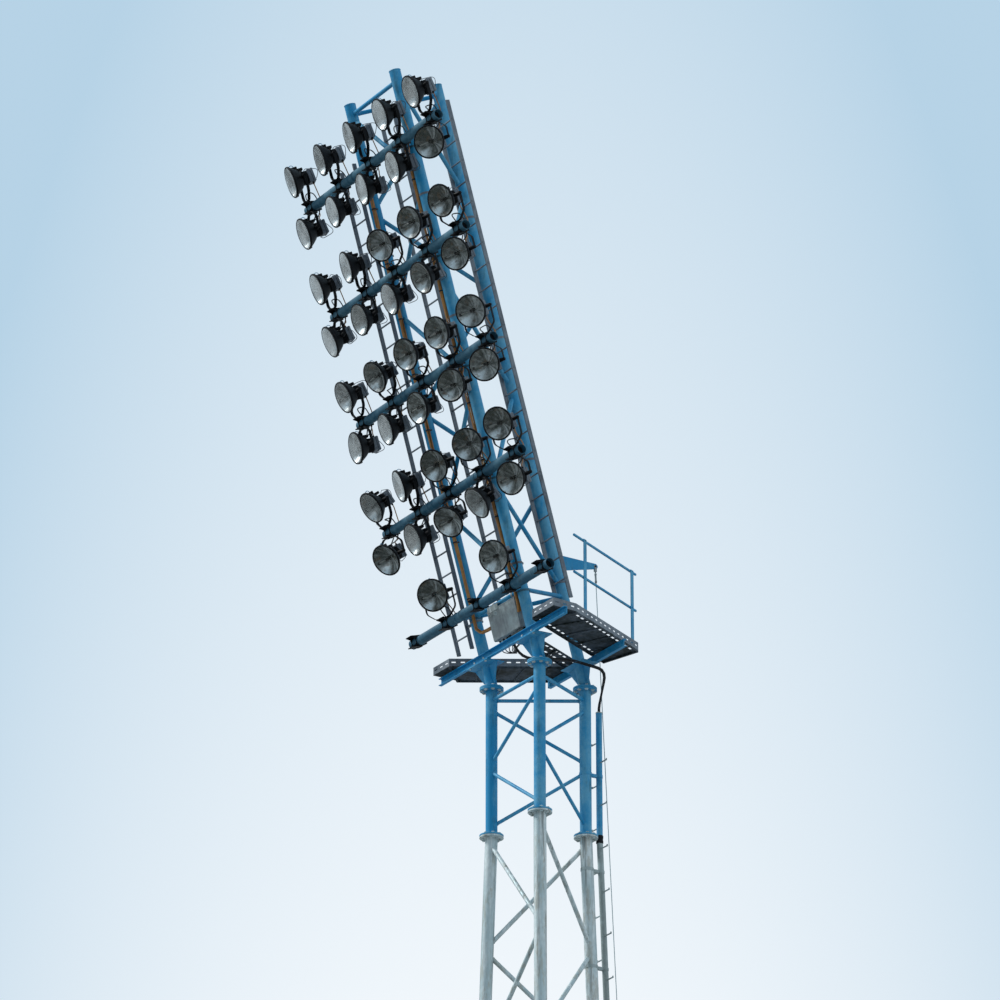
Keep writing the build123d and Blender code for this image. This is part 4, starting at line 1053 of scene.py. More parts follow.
class PYLON_OT_lamps(PylonPart, bpy.types.Operator):
    """Round floodlights: yoke, bowl housing, faceted reflector, light source, domed glass and gear box"""

    bl_idname = "pylon.lamps"
    bl_label = "Floodlights"

    def build(self, sizes):
        spots = lamp_spots()
        frames, shades, pale = lamp_frames(spots), speckle(len(spots), 11), lens_painted_sky_reflection(spots)
        housing, lens = self.housing(sizes), self.lens(sizes)
        for row in range(ROWS):
            mine, n = spots[:, 0] == row, row + 1
            bowls = Shape().repeat(housing, frames[mine], shades[mine])
            make_piece(f"lamp_bowls_{n}", bowls, BLACK, [f"lamp_housings_{n}"])
            # Each lens's shade number says how strongly the sky's reflection is painted on it.
            covers = Shape().repeat(lens, frames[mine], pale[mine])
            make_piece(f"lens_covers_{n}", covers, GLASS, [f"lenses_{n}"])
            bars = Shape()
            for side, rise in ((1, UPPER_RISE), (-1, LOWER_RISE)):
                chosen = mine & (spots[:, 2] == side)
                if chosen.any():
                    yoke = self.yoke(rise + 0.019 - CROSSBAR_FLAT - SADDLE_T)
                    bars.repeat(yoke, yoke_frames(spots[chosen]), shades[chosen])
            make_piece(f"yoke_bars_{n}", bars, BLACK, [f"yokes_{n}"])
        reflectors = Shape()
        for lamp, one in enumerate(frames):
            reflectors.repeat(self.reflector(sizes, lamp), one, None)
        make_piece("reflectors", reflectors, GLASS, look="reflector", crease=4.0)
        for name, one, slot, replaced, look in (
            ("light_sources", self.capsule(sizes), GLASS, (), "capsule"),
            ("lamp_sockets", self.sockets(sizes), BLACK, (), None),
            ("gear_box_covers", self.gear_box(), SLATE, ["gear_boxes"], None),
            ("lamp_grips", self.grip(), BLUE, (), None),
        ):
            make_piece(name, Shape().repeat(one, frames, shades), slot, replaced, look)

    def housing(self, sizes):
        """A bowl turned about the beam: finned neck, swelling bowl, rolled rim, a lip inside it and pivots."""
        bowl_r, depth = RIM_R - 0.01, sizes.reflector_depth
        outer, inner = RIM_R - 0.0015, RIM_R - 0.021
        profile = [(0, -GEAR_START), (0.086, -GEAR_START)]
        for z in (-0.247, -0.229, -0.211, -0.193):
            profile += [(0.088, z - 0.001), (0.1, z), (0.1, z + 0.007), (0.088, z + 0.008)]
        profile.append((0.094, -NECK_START - 0.006))
        profile += [(0.1 + (bowl_r - 0.1) * s ** 0.8, -NECK_START + (NECK_START - RIM_DEPTH) * s)
                    for s in np.linspace(0, 1, 9)]
        profile += [(outer - 0.003, -0.027), (outer, -0.021), (outer, -0.006), (outer - 0.003, 0.0),
                    (inner + 0.004, 0.0005), (inner, -0.003), (inner, -0.013)]
        profile += [((RIM_R - 0.023) * s, -depth - 0.008 + (depth - 0.008) * s ** 2)
                    for s in np.linspace(0.97, 0.15, 7)]
        shape = turned(profile + [(0, -depth - 0.011)], sizes.lamp_sides)
        boss = turned([(0, -0.07), (0.03, -0.07), (0.026, 0.03), (0.022, 0.055), (0, 0.055)], 16)
        for side in (1, -1):
            for one, x in ((boss, 0.162), (bolt(0.02, 0.01), 0.226)):
                shape.repeat(one, facing(X * side, UP * -side, [side * x, 0, -PIVOT_BACK]))
        blocks(shape, [[-0.03, 0.207, -0.05]], [[0.03, 0.222, 0.0]])
        blocks(shape, [[-0.05, 0.112, -0.222], [-0.02, 0.15, -0.16]], [[0.05, 0.15, -0.12], [0.02, 0.196, -0.07]],
               bevel=0.004)
        return blocks(shape, [[-0.02, -0.221, -0.045]], [[0.02, -0.207, 0.0]])

    def grip(self):
        """A rod bent to a half ring that stands on the bowl behind the rim."""
        angle = np.linspace(0, pi, 9)
        arc = np.stack([0 * angle, 0.196 + 0.034 * np.sin(angle), -0.085 + 0.032 * np.cos(angle)], axis=1)
        return Shape().add(*carry(arc, circle(0.0045, 6), X))

    def lens(self, sizes):
        """Domed glass: height falls with the sixth power of the radius, and a second skin follows behind it."""
        r = RIM_R - 0.0215
        front, back = ([(r * s, 0.0155 * (1 - s ** 6) + z) for s in np.linspace(0.25, 1, 8)]
                       for z in (0.0005, -0.0035))
        return turned([(0, 0.012)] + back + front[::-1] + [(0, 0.016)], sizes.lamp_sides)

    def reflector(self, sizes, lamp):
        """A parabola turned about the beam in flat facets, with a back skin. Its shade follows the angle: painted
        sky reflections as a bright wedge low on the left and streaks low on the right, and painted shade as a dull
        upper half, each a little turned on every lamp."""
        depth, r = sizes.reflector_depth, RIM_R - 0.023
        front = [(r * s, -depth + (depth - 0.008) * s ** 2) for s in np.linspace(0.2, 1, 12)]
        back = [(q, z - 0.002) for q, z in front]
        shape = turned([(0, back[0][1])] + back + front[::-1] + [(0, front[0][1])], sizes.facet_count)
        x, y, _ = shape.points[0].T
        angle, out = np.arctan2(y, x), np.hypot(x, y) / r
        shift, wave, level = speckle(3, 100 + lamp)
        # Painted sky reflections: a bright wedge low on the left and streaks low and high on the right; painted
        # shade over the upper half.
        tone = 0.17 + 0.14 * level + 0.75 * swell(angle, 216 + 14 * shift, 21) * np.clip(2.2 * out - 0.5, 0, 1)
        tone += 0.5 * swell(angle, 300 + 16 * wave, 24) * np.cos(9 * angle + 6 * wave) ** 2
        tone += 0.42 * swell(angle, 45 + 20 * shift, 26) * np.cos(11 * angle + 4 * level) ** 2
        tone += 0.07 * np.cos(13 * angle + 9 * shift) - 0.16 * swell(angle, 95 + 20 * wave, 38) * out
        shape.shades = [np.clip(tone, 0, 1)]
        return shape

    def capsule(self, sizes):
        """A light source from the rim's left side to the middle: a tube that narrows at its inner end."""
        half = sizes.capsule_length / 2
        profile = [(0, -half), (0.013, -half), (0.0135, half * 0.3), (0.011, half * 0.5), (0.009, half), (0, half)]
        return Shape().repeat(turned(profile, 14), facing(X, -UP, [-half - 0.02, 0, -0.036]))

    def sockets(self, sizes):
        """The dark socket in the middle, its stem to the reflector's foot, and the holder at the rim."""
        end = -sizes.capsule_length - 0.02
        shape = turned([(0, -0.115), (0.014, -0.115), (0.014, -0.06), (0.021, -0.052), (0.021, -0.02),
                        (0.017, -0.014), (0, -0.014)], 14)
        blocks(shape, [[end - 0.012, -0.017, -0.052]], [[end + 0.02, 0.017, -0.02]])
        starts, ends = [[0.0, -0.03, -0.09], [-0.03, 0.02, -0.1]], [[0.0, 0.03, -0.09], [0.03, 0.02, -0.1]]
        return round_bars(shape, starts, ends, 0.008, 8)

    def yoke(self, reach):
        """A flat bar carried along a U with rounded bends, with a washer and bolt at its foot."""
        outer, foot, bend = 0.222, 0.108, 0.112
        half = [(outer, reach, 0), (outer, bend, 0), (foot, 0.004, 0)]
        path = rounded_path([(-x, y, z) for x, y, z in half] + half[::-1], 0.035, 5)
        shape = Shape().add(*carry(path, rounded_bar(0.008, 0.042, 0.0018, 2)))
        return shape.repeat(bolt(0.02, 0.008), facing(Y, X, [0, 0.008, 0]))

    def gear_box(self):
        """A box with a raised lid, a seam, two straps and four bolts, behind the neck."""
        back, end = -GEAR_START, -GEAR_START - GEAR_DEPTH
        shape = blocks(Shape(), [[-0.081, -0.096, back - 0.05]], [[0.081, 0.096, back]], bevel=0.006)
        blocks(shape, [[-0.085, -0.1, end]], [[0.085, 0.1, back - 0.052]], bevel=0.008)
        blocks(shape, [[-0.0848, y, back - 0.045] for y in (-0.07, 0.05)],
               [[0.0848, y, back - 0.02] for y in (-0.05, 0.07)], bevel=0.002)
        for x in (-0.066, 0.066):
            for y in (-0.082, 0.082):
                shape.repeat(bolt(0.008, 0.004), facing(-UP, X, [x, y, end]))
        return shape


class PYLON_OT_leads(PylonPart, bpy.types.Operator):
    """Leads from the gear boxes to the crossbars, glands, and loose loops of wire behind the lamps"""

    bl_idname = "pylon.leads"
    bl_label = "Lamp leads"

    def build(self, sizes):
        leads, loops, glands = Shape(), Shape(), Shape()
        gland = turned([(0, -0.002), (0.014, -0.002), (0.014, 0.012), (0.01, 0.022), (0, 0.022)], 10)
        spots = lamp_spots()
        wander = speckle(len(spots) * 4, 71).reshape(-1, 4)
        for (row, place, side, _, _), frame_of_lamp, (a, b, c, d) in zip(spots, lamp_frames(spots), wander):
            across, over, aim, origin = frame_of_lamp
            along, x = crossbar_along(row), lamp_x(place) + side * 0.05
            leaving = -side * over
            start = origin - aim * (GEAR_START + GEAR_DEPTH / 2) + across * 0.04 + leaving * 0.1
            end = head(x, along, CROSSBAR_FORWARD - CROSSBAR_FLAT + 0.002)
            corners = [start, start + leaving * 0.05, head(x, along + side * 0.1, 0.115),
                       head(x, along, 0.125), end]
            wire(leads, corners, 0.05, 6, 0.014, sizes.lead_d / 2, 8, X + UP * 0.2, a)
            glands.repeat(gland, facing(leaving, across, start - leaving * 0.002))
            glands.repeat(gland, facing(-HEAD_V, X, end))
            top = origin - aim * (GEAR_START - 0.02) + over * (0.098 * side) + across * (0.05 - 0.1 * b)
            rear = origin - aim * (GEAR_START + GEAR_DEPTH) - over * (side * 0.05)
            swing = (origin - aim * (0.41 + 0.05 * c) + over * (side * (0.07 + 0.06 * d))
                     + across * (0.09 * (b - 0.5)))
            corners = [top, top + over * (side * 0.035) - aim * 0.03, swing, rear - aim * 0.03, rear + aim * 0.004]
            wire(loops, corners, 0.09, 7, 0.016, 0.0045, 6, across, d)
        slack = iter(speckle(ROWS * PLACES * 8, 77).reshape(-1, 8))
        for row in range(ROWS):
            for place in range(PLACES):
                a, b, c, d, e, f, g, h = next(slack)
                along, x = crossbar_along(row), lamp_x(place)
                for side, p, q, t in ((1, a, b, c), (-1, d, e, f)):
                    if place not in LAMP_AIMS.get((row, side), ()):
                        continue
                    corners = [(x - 0.1 + 0.04 * p, 0.07, 0.17), (x - 0.15, 0.15 + 0.08 * q, 0.13 + 0.1 * t),
                               (x - 0.02, 0.17 + 0.09 * g, 0.3), (x + 0.12, 0.14 + 0.06 * h, 0.26),
                               (x + 0.1, 0.066, 0.2)]
                    corners = [head(u, along + side * v, forward) for u, v, forward in corners]
                    wire(loops, corners, 0.09, 7, 0.016, 0.008, 6, (0.3, 1, 0.2), q)
        make_piece("lead_runs", leads, SHEATH, ["lamp_leads"])
        make_piece("lead_glands", glands, BLACK)
        make_piece("wire_loops", loops, SHEATH, look="lead")


class PYLON_OT_ladders(PylonPart, bpy.types.Operator):
    """Three ladders up the head: flat rails, round rungs and brackets to the legs"""

    bl_idname = "pylon.ladders"
    bl_label = "Ladders"

    def build(self, sizes):
        shape = Shape()
        width, pitch, rung_r, bracket_pitch = 0.35, 0.3, 0.0115, 1.75
        rear = (HEAD_FOOT["rear"] - FRONT_FOOT) @ HEAD_V
        left_x, right_x = HEAD_FOOT["left"][0], HEAD_FOOT["right"][0]
        left_far, right_far = left_x - 0.243, right_x - 0.357
        ladders = [(left_far - width, 0.59, 7.59, 0.0), (right_far - width, 1.01, 7.89, -0.07),
                   (0.0, 0.85, 8.01, rear + 0.12)]
        for n, (x_left, low, high, forward) in enumerate(ladders):
            for x in (x_left, x_left + width):
                rail = [x - 0.011, x + 0.011, low, high, forward - 0.03, forward + 0.03]
                head_blocks(shape, [rail], 0.003, 0.2 + 0.3 * n)
            count = int((high - low) / pitch)
            along = low + (high - low - pitch * (count - 1)) / 2 + pitch * np.arange(count)
            start, end = head(x_left, along, forward), head(x_left + width, along, forward)
            round_bars(shape, start, end, rung_r, 10, speckle(count, 5))
            ends = np.concatenate([start - X * 0.012, end + X * 0.012])
            round_bars(shape, ends, ends + X * 0.004 * np.repeat([-1, 1], count)[:, None], 0.015, 8)
        brackets = [(left_far, left_x, left_x, 0.0, *ladders[0][1:3], -0.005, 0.005),
                    (right_far, right_x, right_x, 0.0, *ladders[1][1:3], -0.075, -0.065),
                    (-0.005, 0.005, 0.0, rear, *ladders[2][1:3], rear, rear + 0.12)]
        for x_low, x_high, x_leg, forward, low, high, near, far in brackets:
            for along in np.arange(low + pitch, high - 1e-6, bracket_pitch):
                head_blocks(shape, [[x_low, x_high, along - 0.02, along + 0.02, near, far]], 0.0015)
                clasp(shape, head(x_leg, along, forward), HEAD_W, HEAD_V, LEG_R, 0.03, 0.005)
        make_piece("ladder_frames", shape, SLATE, ["ladders"])


FACE_RUN = np.array([-0.5, sqrt(3) / 2, 0])
FACE_OUT = np.array([sqrt(3) / 2, 0.5, 0])
FACE_START = leg_point("right", DECK) * [1, 1, 0]
DECK_Z = DECK + BEAM_LEVEL + BEAM_HALF
DECK_TOP = DECK_Z + 0.03
SKIN_T = 0.004
FRONT_EDGE = beam_back("left") - BEAM_HALF - 0.09


def beside_face(along, out, z=0.0):
    """A point at a distance along the right face and a distance out from it."""
    along, out = np.asarray(along, float)[..., None], np.asarray(out, float)[..., None]
    return FACE_START + FACE_RUN * along + FACE_OUT * out + UP * z


def along_at(out, y):
    """Distance along the right face where the line at a distance out from it meets a Y."""
    return (y - (FACE_START[1] + FACE_OUT[1] * out)) / FACE_RUN[1]


class Walkway:
    """A walkway along the right face between two distances out from it, or its mirror image along the left one.
    Its front edge is level with X, and a corner is clipped where one is given."""

    def __init__(self, inner, outer, front, rear, corner_x=None, mirror=False):
        self.inner, self.outer, self.front, self.rear, self.mirror = inner, outer, front, rear, mirror
        self.corner = None
        if corner_x is not None:
            self.corner = np.array([corner_x, front, 0])
            self.corner_along, self.corner_out = (self.corner - FACE_START) @ np.transpose([FACE_RUN, FACE_OUT])
            self.tip_along = along_at(outer, front + 0.38)

    def limits(self, out):
        """Start and end along the face at a distance out. The clipped corner's line runs from the corner to
        the tip."""
        low = along_at(out, self.front)
        if self.corner is not None and out > self.corner_out:
            slope = (self.tip_along - self.corner_along) / (self.outer - self.corner_out)
            low = self.corner_along + (out - self.corner_out) * slope
        if np.ndim(self.rear) == 0:
            return low, along_at(out, self.rear)
        share = (out - self.inner) / (self.outer - self.inner)
        return low, self.rear[0] + (self.rear[1] - self.rear[0]) * share

    def patch(self, shape, low, high, starts, ends, z_low=DECK_TOP - SKIN_T, z_high=DECK_TOP):
        """A level plate between two heights and two distances out, with its start and end along the face at
        both."""
        corners = np.array([beside_face(starts[0], low), beside_face(starts[1], high),
                            beside_face(ends[1], high), beside_face(ends[0], low)])[:, :2]
        if self.mirror:
            corners[:, 0] *= -1
        x, y = corners.T
        if np.sum(x * np.roll(y, -1) - y * np.roll(x, -1)) < 0:
            corners = corners[::-1]
        points = [np.column_stack([corners, np.full(4, z)]) for z in (z_low, z_high)]
        order = np.arange(4)[None]
        shape.add(np.vstack(points), [ring_faces(2, 4), order[:, ::-1], order + 4])

    def sheet(self, shape, sizes):
        """A folded sheet: a thin top with a row of slots along both edges, and lips and ribs below it."""
        inner, outer, edge, slot = self.inner, self.outer, 0.045, sizes.slot_width
        rows = [(inner + edge, inner + edge + slot), (outer - edge - slot, outer - edge)]
        for low, high in ((inner, rows[0][0]), (rows[0][1], rows[1][0]), (rows[1][1], outer)):
            cuts = [low, high]
            if self.corner is not None and low < self.corner_out < high:
                cuts.insert(1, self.corner_out)
            for a, b in zip(cuts[:-1], cuts[1:]):
                self.patch(shape, a, b, *zip(self.limits(a), self.limits(b)))
        for low, high in rows:
            starts, ends = zip(self.limits(low), self.limits(high))
            start, end, bridge = max(starts), min(ends), sizes.slot_pitch - sizes.slot_length
            count = max(1, int((end - start - 0.1) / sizes.slot_pitch))
            start += (end - start - count * sizes.slot_pitch + bridge) / 2
            self.patch(shape, low, high, starts, (start, start))
            for k in range(1, count + 1):
                a = start - bridge + sizes.slot_pitch * k
                self.patch(shape, low, high, (a, a), (a + bridge, a + bridge) if k < count else ends)
        for low, high in ((inner, inner + SKIN_T), (outer - SKIN_T, outer)):
            self.patch(shape, low, high, *zip(self.limits(low), self.limits(high)), DECK_Z, DECK_TOP - SKIN_T)
        outs, rib = (inner + SKIN_T, outer - SKIN_T), 0.03
        for share in np.linspace(0, 1, 6):
            starts = [low + (high - low - rib) * share for low, high in map(self.limits, outs)]
            z_low = DECK_Z if share in (0, 1) else DECK_Z + 0.012
            self.patch(shape, *outs, starts, [s + rib for s in starts], z_low, DECK_TOP - SKIN_T)

    def toe_boards(self, shape, inside):
        """Boards on the outer edges, each with a row of slots between its two strips."""
        (a, b), (c, d) = self.limits(self.inner), self.limits(self.outer)
        points = [beside_face(a, self.inner), self.corner, beside_face(c, self.outer), beside_face(d, self.outer)]
        runs = list(zip(points[:-1], points[1:]))
        if inside:
            runs.append((beside_face(b, self.inner), points[0]))
        pitch_about, thick, half_bridge = 0.12, 0.006, 0.034
        lower, slots, upper = (0, 0.048), (0.046, 0.068), (0.066, 0.11)
        for start, end in runs:
            if self.mirror:
                start, end = end * [-1, 1, 1], start * [-1, 1, 1]
            size = np.linalg.norm(end - start)
            run = (end - start) / size
            count = max(2, int(size / pitch_about))
            middles = np.arange(count + 1) * (size / count)
            near, far = (np.clip(middles + half, 0, size) for half in (-half_bridge, half_bridge))
            lows = [[0, 0, lower[0]], [0, 0, upper[0]], *([x, 0, slots[0]] for x in near)]
            highs = [[size, thick, lower[1]], [size, thick, upper[1]], *([x, thick, slots[1]] for x in far)]
            axes = np.stack([run, np.cross(UP, run), UP])
            blocks(shape, lows, highs, axes, start * [1, 1, 0] + UP * DECK_TOP, 0.001, 0.8)


class PYLON_OT_platform(PylonPart, bpy.types.Operator):
    """Walkways of folded sheet with slots, toe boards, beam fittings and the handrail"""

    bl_idname = "pylon.platform"
    bl_label = "Platform"

    def build(self, sizes):
        decks, boards, rail, fittings = Shape(), Shape(), Shape(), Shape()
        right = Walkway(0.15, 0.766, FRONT_EDGE, (1.5, 1.34), 1.525)
        left = Walkway(0.34, 0.91, FRONT_EDGE, beam_back("rear") + BEAM_HALF + 0.04, 1.63, mirror=True)
        plank = Walkway(-0.4, -0.15, beam_back("left") - BEAM_HALF, beam_back("rear") + BEAM_HALF)
        for walkway in (right, left, plank):
            walkway.sheet(decks, sizes)
        right.toe_boards(boards, False)
        left.toe_boards(boards, True)
        self.handrail(rail, right.outer - 0.006)
        self.beam_fittings(fittings)
        make_piece("walkway_sheets", decks, "dark_grating", ["gratings"])
        make_piece("toe_board_strips", boards, "dark_grating", ["toe_boards"], SLATE)
        make_piece("handrail_bars", rail, BLUE, ["handrail"])
        make_piece("beam_bolts", fittings, ZINC)

    def handrail(self, shape, face):
        """Flat posts with rounded edges and two square rails, bolted together."""
        posts, height = (-0.11, 1.2), 1.1
        for along in posts:
            path = [beside_face(along, face - 0.006, DECK_TOP + z) for z in (0, height)]
            shape.add(*carry(path, rounded_bar(0.012, 0.075, 0.002, 2), FACE_RUN), shade=0.6)
        for level in (0.58, height):
            z = DECK_TOP + level - 0.014
            path = beside_face(np.linspace(-0.38, 1.34, 7), face - 0.026, z)
            shape.add(*carry(path, rounded_bar(0.028, 0.028, 0.005, 3)), shade=0.4)
            for along in posts:
                shape.repeat(bolt(0.012, 0.02), [FACE_RUN, UP, FACE_OUT, beside_face(along, face, z)])

    def beam_fittings(self, shape):
        """Bolts through the backs of the beams at the legs."""
        for leg in LEGS:
            side = 1.0 if leg == "rear" else -1.0
            for dx in (-0.12, 0.12):
                spot = [HEAD_FOOT[leg][0] + dx, beam_back(leg) + side * 0.008, DECK + BEAM_LEVEL]
                shape.repeat(bolt(0.016, 0.01), facing(Y * side, X * -side, spot))


class PYLON_OT_climbing_pole(PylonPart, bpy.types.Operator):
    """Climbing pole with round pegs, clamp brackets, coupling, and the taut line with its turnbuckle"""

    bl_idname = "pylon.climbing_pole"
    bl_label = "Climbing pole and line"
    radius = 0.0425

    def build(self, sizes):
        pole, blue_pole = Shape(), Shape()
        for shape, low, high, count in ((pole, FOOT_PLATE, TAPER_TOP, 15), (blue_pole, TAPER_TOP, POLE_TOP, 5)):
            path = [self.centre(z) for z in np.linspace(low, high, count)]
            shape.add(*carry(path, circle(self.radius * 0.985, 20), X), shade=0.4)
        half = [(0.046, 0.016), (0.049, 0.02), (0.049, 0.05), (0.046, 0.055), (0.03, 0.055)]
        collar = turned([(r, -z) for r, z in half[::-1]] + half, 20)
        coupling = Shape().repeat(collar, level_frames([self.centre(TAPER_TOP)]), 0.9)
        cap = turned([(0.02, -0.01), (0.044, -0.01), (0.044, 0.006), (0.03, 0.012), (0.02, 0.012)], 20)
        pole.repeat(cap, level_frames([self.centre(POLE_TOP)]))
        self.pegs(pole)
        self.brackets(pole, blue_pole)
        foot = leg_point("rear", 2.28)
        foot_y = leg_point("rear", 2.3)[1]
        blocks(pole, [[-0.02, foot_y + 0.08, 2.26]], [[0.02, foot_y + 0.574, 2.3]])
        clasp(pole, foot, UP, -Y, LOWER_LEG_R, 0.05, 0.006)
        fitting, line = self.taut_line(np.array([0.0, foot_y + 0.534, 2.3]))
        make_piece("climbing_pole_tube", pole, "grey_painted_steel", ["climbing_pole"])
        make_piece("blue_pole_top", blue_pole, BLUE)
        make_piece("pole_coupling", coupling, BLACK)
        make_piece("turnbuckle_parts", fitting, "wire_steel", ["turnbuckle"])
        make_piece("taut_line", line, "wire_steel", ["lifeline"], "rope")

    def centre(self, z):
        """Centre of the pole at a height: beside the rear leg."""
        return leg_point("rear", z) + Y * POLE_OUT

    def pegs(self, shape):
        """Round pegs to the left and right in turn, each with a stub at its end."""
        low, pitch, peg_r = 2.7, 0.3, 0.0095
        count = int((POLE_TOP - low) / pitch)
        side = np.where(np.arange(count) % 2 == 0, 1.0, -1.0)[:, None]
        roots = np.array([self.centre(z) for z in low + pitch * np.arange(count)])
        tips = roots + X * side * (self.radius + 0.143)
        round_bars(shape, roots, tips, peg_r, 10, speckle(count, 8))
        ends = tips - X * side * 0.004
        round_bars(shape, ends - UP * 0.008, ends + UP * 0.02, peg_r, 10, speckle(count, 8))

    def brackets(self, pole, blue_pole):
        """Blocks between the rear leg and the pole, with a clasp round both."""
        pitch, half, r = 1.33, 0.0225, self.radius
        for k in range(int((POLE_TOP - FOOT_PLATE) / pitch)):
            z = FOOT_PLATE + pitch * (k + 1)
            shape, leg_r = (pole, LOWER_LEG_R) if z < TAPER_TOP else (blue_pole, LEG_R)
            leg = leg_point("rear", z)
            near, far = leg[1] + leg_r * 0.96, leg[1] + POLE_OUT - r * 0.9
            blocks(shape, [[-half, near, z - half]], [[half, far, z + half]])
            clasp(shape, leg, UP, -Y, leg_r, 0.04, 0.006)
            clasp(shape, self.centre(z), UP, Y, r, 0.036, 0.005)

    def taut_line(self, end):
        """The line from the bracket plate's eye down to its lower end, and the turnbuckle's parts along it."""
        z = DECK + 1.8
        rear = HEAD_FOOT["rear"]
        eye = np.array([0.0, rear[1] - (z - rear[2]) * tan(TILT) + 0.661, z])
        run = unit(end - eye)
        hang = facing(run, X, eye)
        hang[2] = np.cross(X, hang[1])
        parts = blocks(Shape(), [[0.007, -0.018, -0.018], [-0.015, -0.018, -0.018], [-0.015, -0.018, 0.068]],
                       [[0.015, 0.018, 0.07], [-0.007, 0.018, 0.07], [0.015, 0.018, 0.078]], bevel=0.002)
        pin = turned([(0, -0.012), (0.0145, -0.012), (0.0145, 0.003), (0, 0.003)], 14)
        for s in (1, -1):
            parts.repeat(pin, facing(X * s, UP * -s, [s * 0.012, 0, 0]))
        upper = [(0, 0), (0.009, 0), (0.009, 0.02), (0.016, 0.022), (0.017, 0.03), (0.017, 0.045), (0, 0.045)]
        lower = [(0, 0), (0.017, 0), (0.017, 0.02), (0.014, 0.026), (0.008, 0.028), (0.008, 0.06), (0, 0.06)]
        for profile, along in ((upper, 0.078), (lower, 0.208)):
            parts.repeat(turned(profile, 14), level_frames([[0, 0, along]]))
        blocks(parts, [[-0.016, -0.006, 0.12], [0.008, -0.006, 0.12]],
               [[-0.008, 0.006, 0.21], [0.016, 0.006, 0.21]], bevel=0.002)
        round_bars(parts, [[0, 0, 0.12]], [[0, 0, 0.21]], 0.006, 8)
        fitting = Shape().repeat(parts, hang)
        thimble = end + UP * 0.03
        round_bars(fitting, [thimble + UP * 0.1], [thimble - UP * 0.028], 0.010, 10)
        start = eye + run * 0.26
        path = start + (end - start) * np.linspace(0, 1, 40)[:, None]
        return fitting, Shape().add(*carry(path, circle(0.0058, 8), X))


class PYLON_OT_junction_box(PylonPart, bpy.types.Operator):
    """Junction box with its door, rain hood, hangers, glands, hanging wires and small fittings"""

    bl_idname = "pylon.junction_box"
    bl_label = "Junction box"

    def build(self, sizes):
        cabinet, glands, wires, fittings = Shape(), Shape(), Shape(), Shape()
        left, right, low, high = BOX_LEFT, BOX_RIGHT, BOX_LOW, BOX_HIGH
        head_blocks(cabinet, [[left + 0.004, right - 0.004, low + 0.004, high - 0.004, -0.08, 0.062],
                              [left + 0.012, right - 0.012, low + 0.012, high - 0.012, 0.064, 0.078],
                              [left, right, high - 0.012, high, -0.08, 0.08]], 0.004)
        head_blocks(cabinet, [[0.126, 0.136, low + 0.03, high - 0.03, 0.074, 0.08]], 0.001)
        for x in (left + 0.06, right - 0.06):
            for along in (low + 0.08, high - 0.08):
                cabinet.repeat(bolt(0.006, 0.004), facing(HEAD_V, X, head(x, along, 0.078)))
        for x in (0.38, -0.1):
            head_blocks(cabinet, [[x - 0.02, x + 0.02, high, 0.96, -0.006, 0.006]], 0.001)
            clasp(cabinet, head(x, 0.96, 0.0), X, HEAD_V, BRACE_R, 0.04, 0.004)
        gland = turned([(0, -0.05), (0.009, -0.05), (0.014, -0.036), (0.014, -0.014), (0.017, -0.012), (0.017, 0),
                        (0, 0)], 8)
        count = 8
        for k, (sag, lean) in enumerate(speckle(2 * count, 61).reshape(-1, 2)):
            x = left + (right - left) * (k + 0.5) / count
            glands.repeat(gland, facing(HEAD_W, X, head(x, low, 0.0)))
            corners = [head(x, low - 0.04, 0.0), head(x, low - 0.13 - 0.05 * sag, 0.01),
                       head(0.06 + 0.05 * (k - 3.5) * lean, low - 0.2, 0.0), head(0.05, low - 0.24, -0.06)]
            wire(wires, corners, 0.06, 6, 0.02, 0.007, 6, X + UP * 0.3, sag)
        head_blocks(fittings, [[left + 0.04, left + 0.3, high - 0.03, high + 0.05, 0.08, 0.084],
                               [left + 0.04, left + 0.3, high + 0.046, high + 0.05, 0.03, 0.084]], 0.001)
        button = turned([(0, 0), (0.03, 0), (0.03, 0.006), (0.024, 0.008), (0.022, 0.03), (0.01, 0.03),
                         (0.01, 0.018), (0, 0.018)], 18)
        for x in (left + 0.1, left + 0.22):
            fittings.repeat(button, facing(HEAD_V, X, head(x, high - 0.07, 0.078)))
        make_piece("box_wires", wires, SHEATH, look="lead")
        make_piece("box_fittings", fittings, ZINC)
        make_piece("junction_box_cabinet", cabinet, "box_steel", ["junction_box"])
        make_piece("junction_box_glands", glands, BLACK)


def strands(shape, path, spread, radius, count, turns, seed):
    """Cables laid round a path: each is carried along the path at a distance from it, at an angle that grows
    with the distance gone and wanders a little."""
    gone, tangent = distances(path), tangents(path)
    side = unit(np.cross(np.where(np.abs(tangent[:, :1]) > 0.9, UP, X), tangent))
    over = np.cross(tangent, side)
    for k, (turn, drift) in enumerate(zip(speckle(count, seed) * 0.5, speckle(count, seed + 1))):
        angle = 2 * pi * (k / count + turn * 0.2) + turns * gone * (0.6 + 0.8 * drift)
        angle += 0.5 * np.sin(gone * 3 + 6 * drift)
        off = spread * (0.85 + 0.15 * np.sin(gone * 5 + 9 * turn))
        line = path + (off * np.cos(angle))[:, None] * side + (off * np.sin(angle))[:, None] * over
        shape.add(*carry(line, circle(radius, 6), X + UP * 0.3), shade=drift)


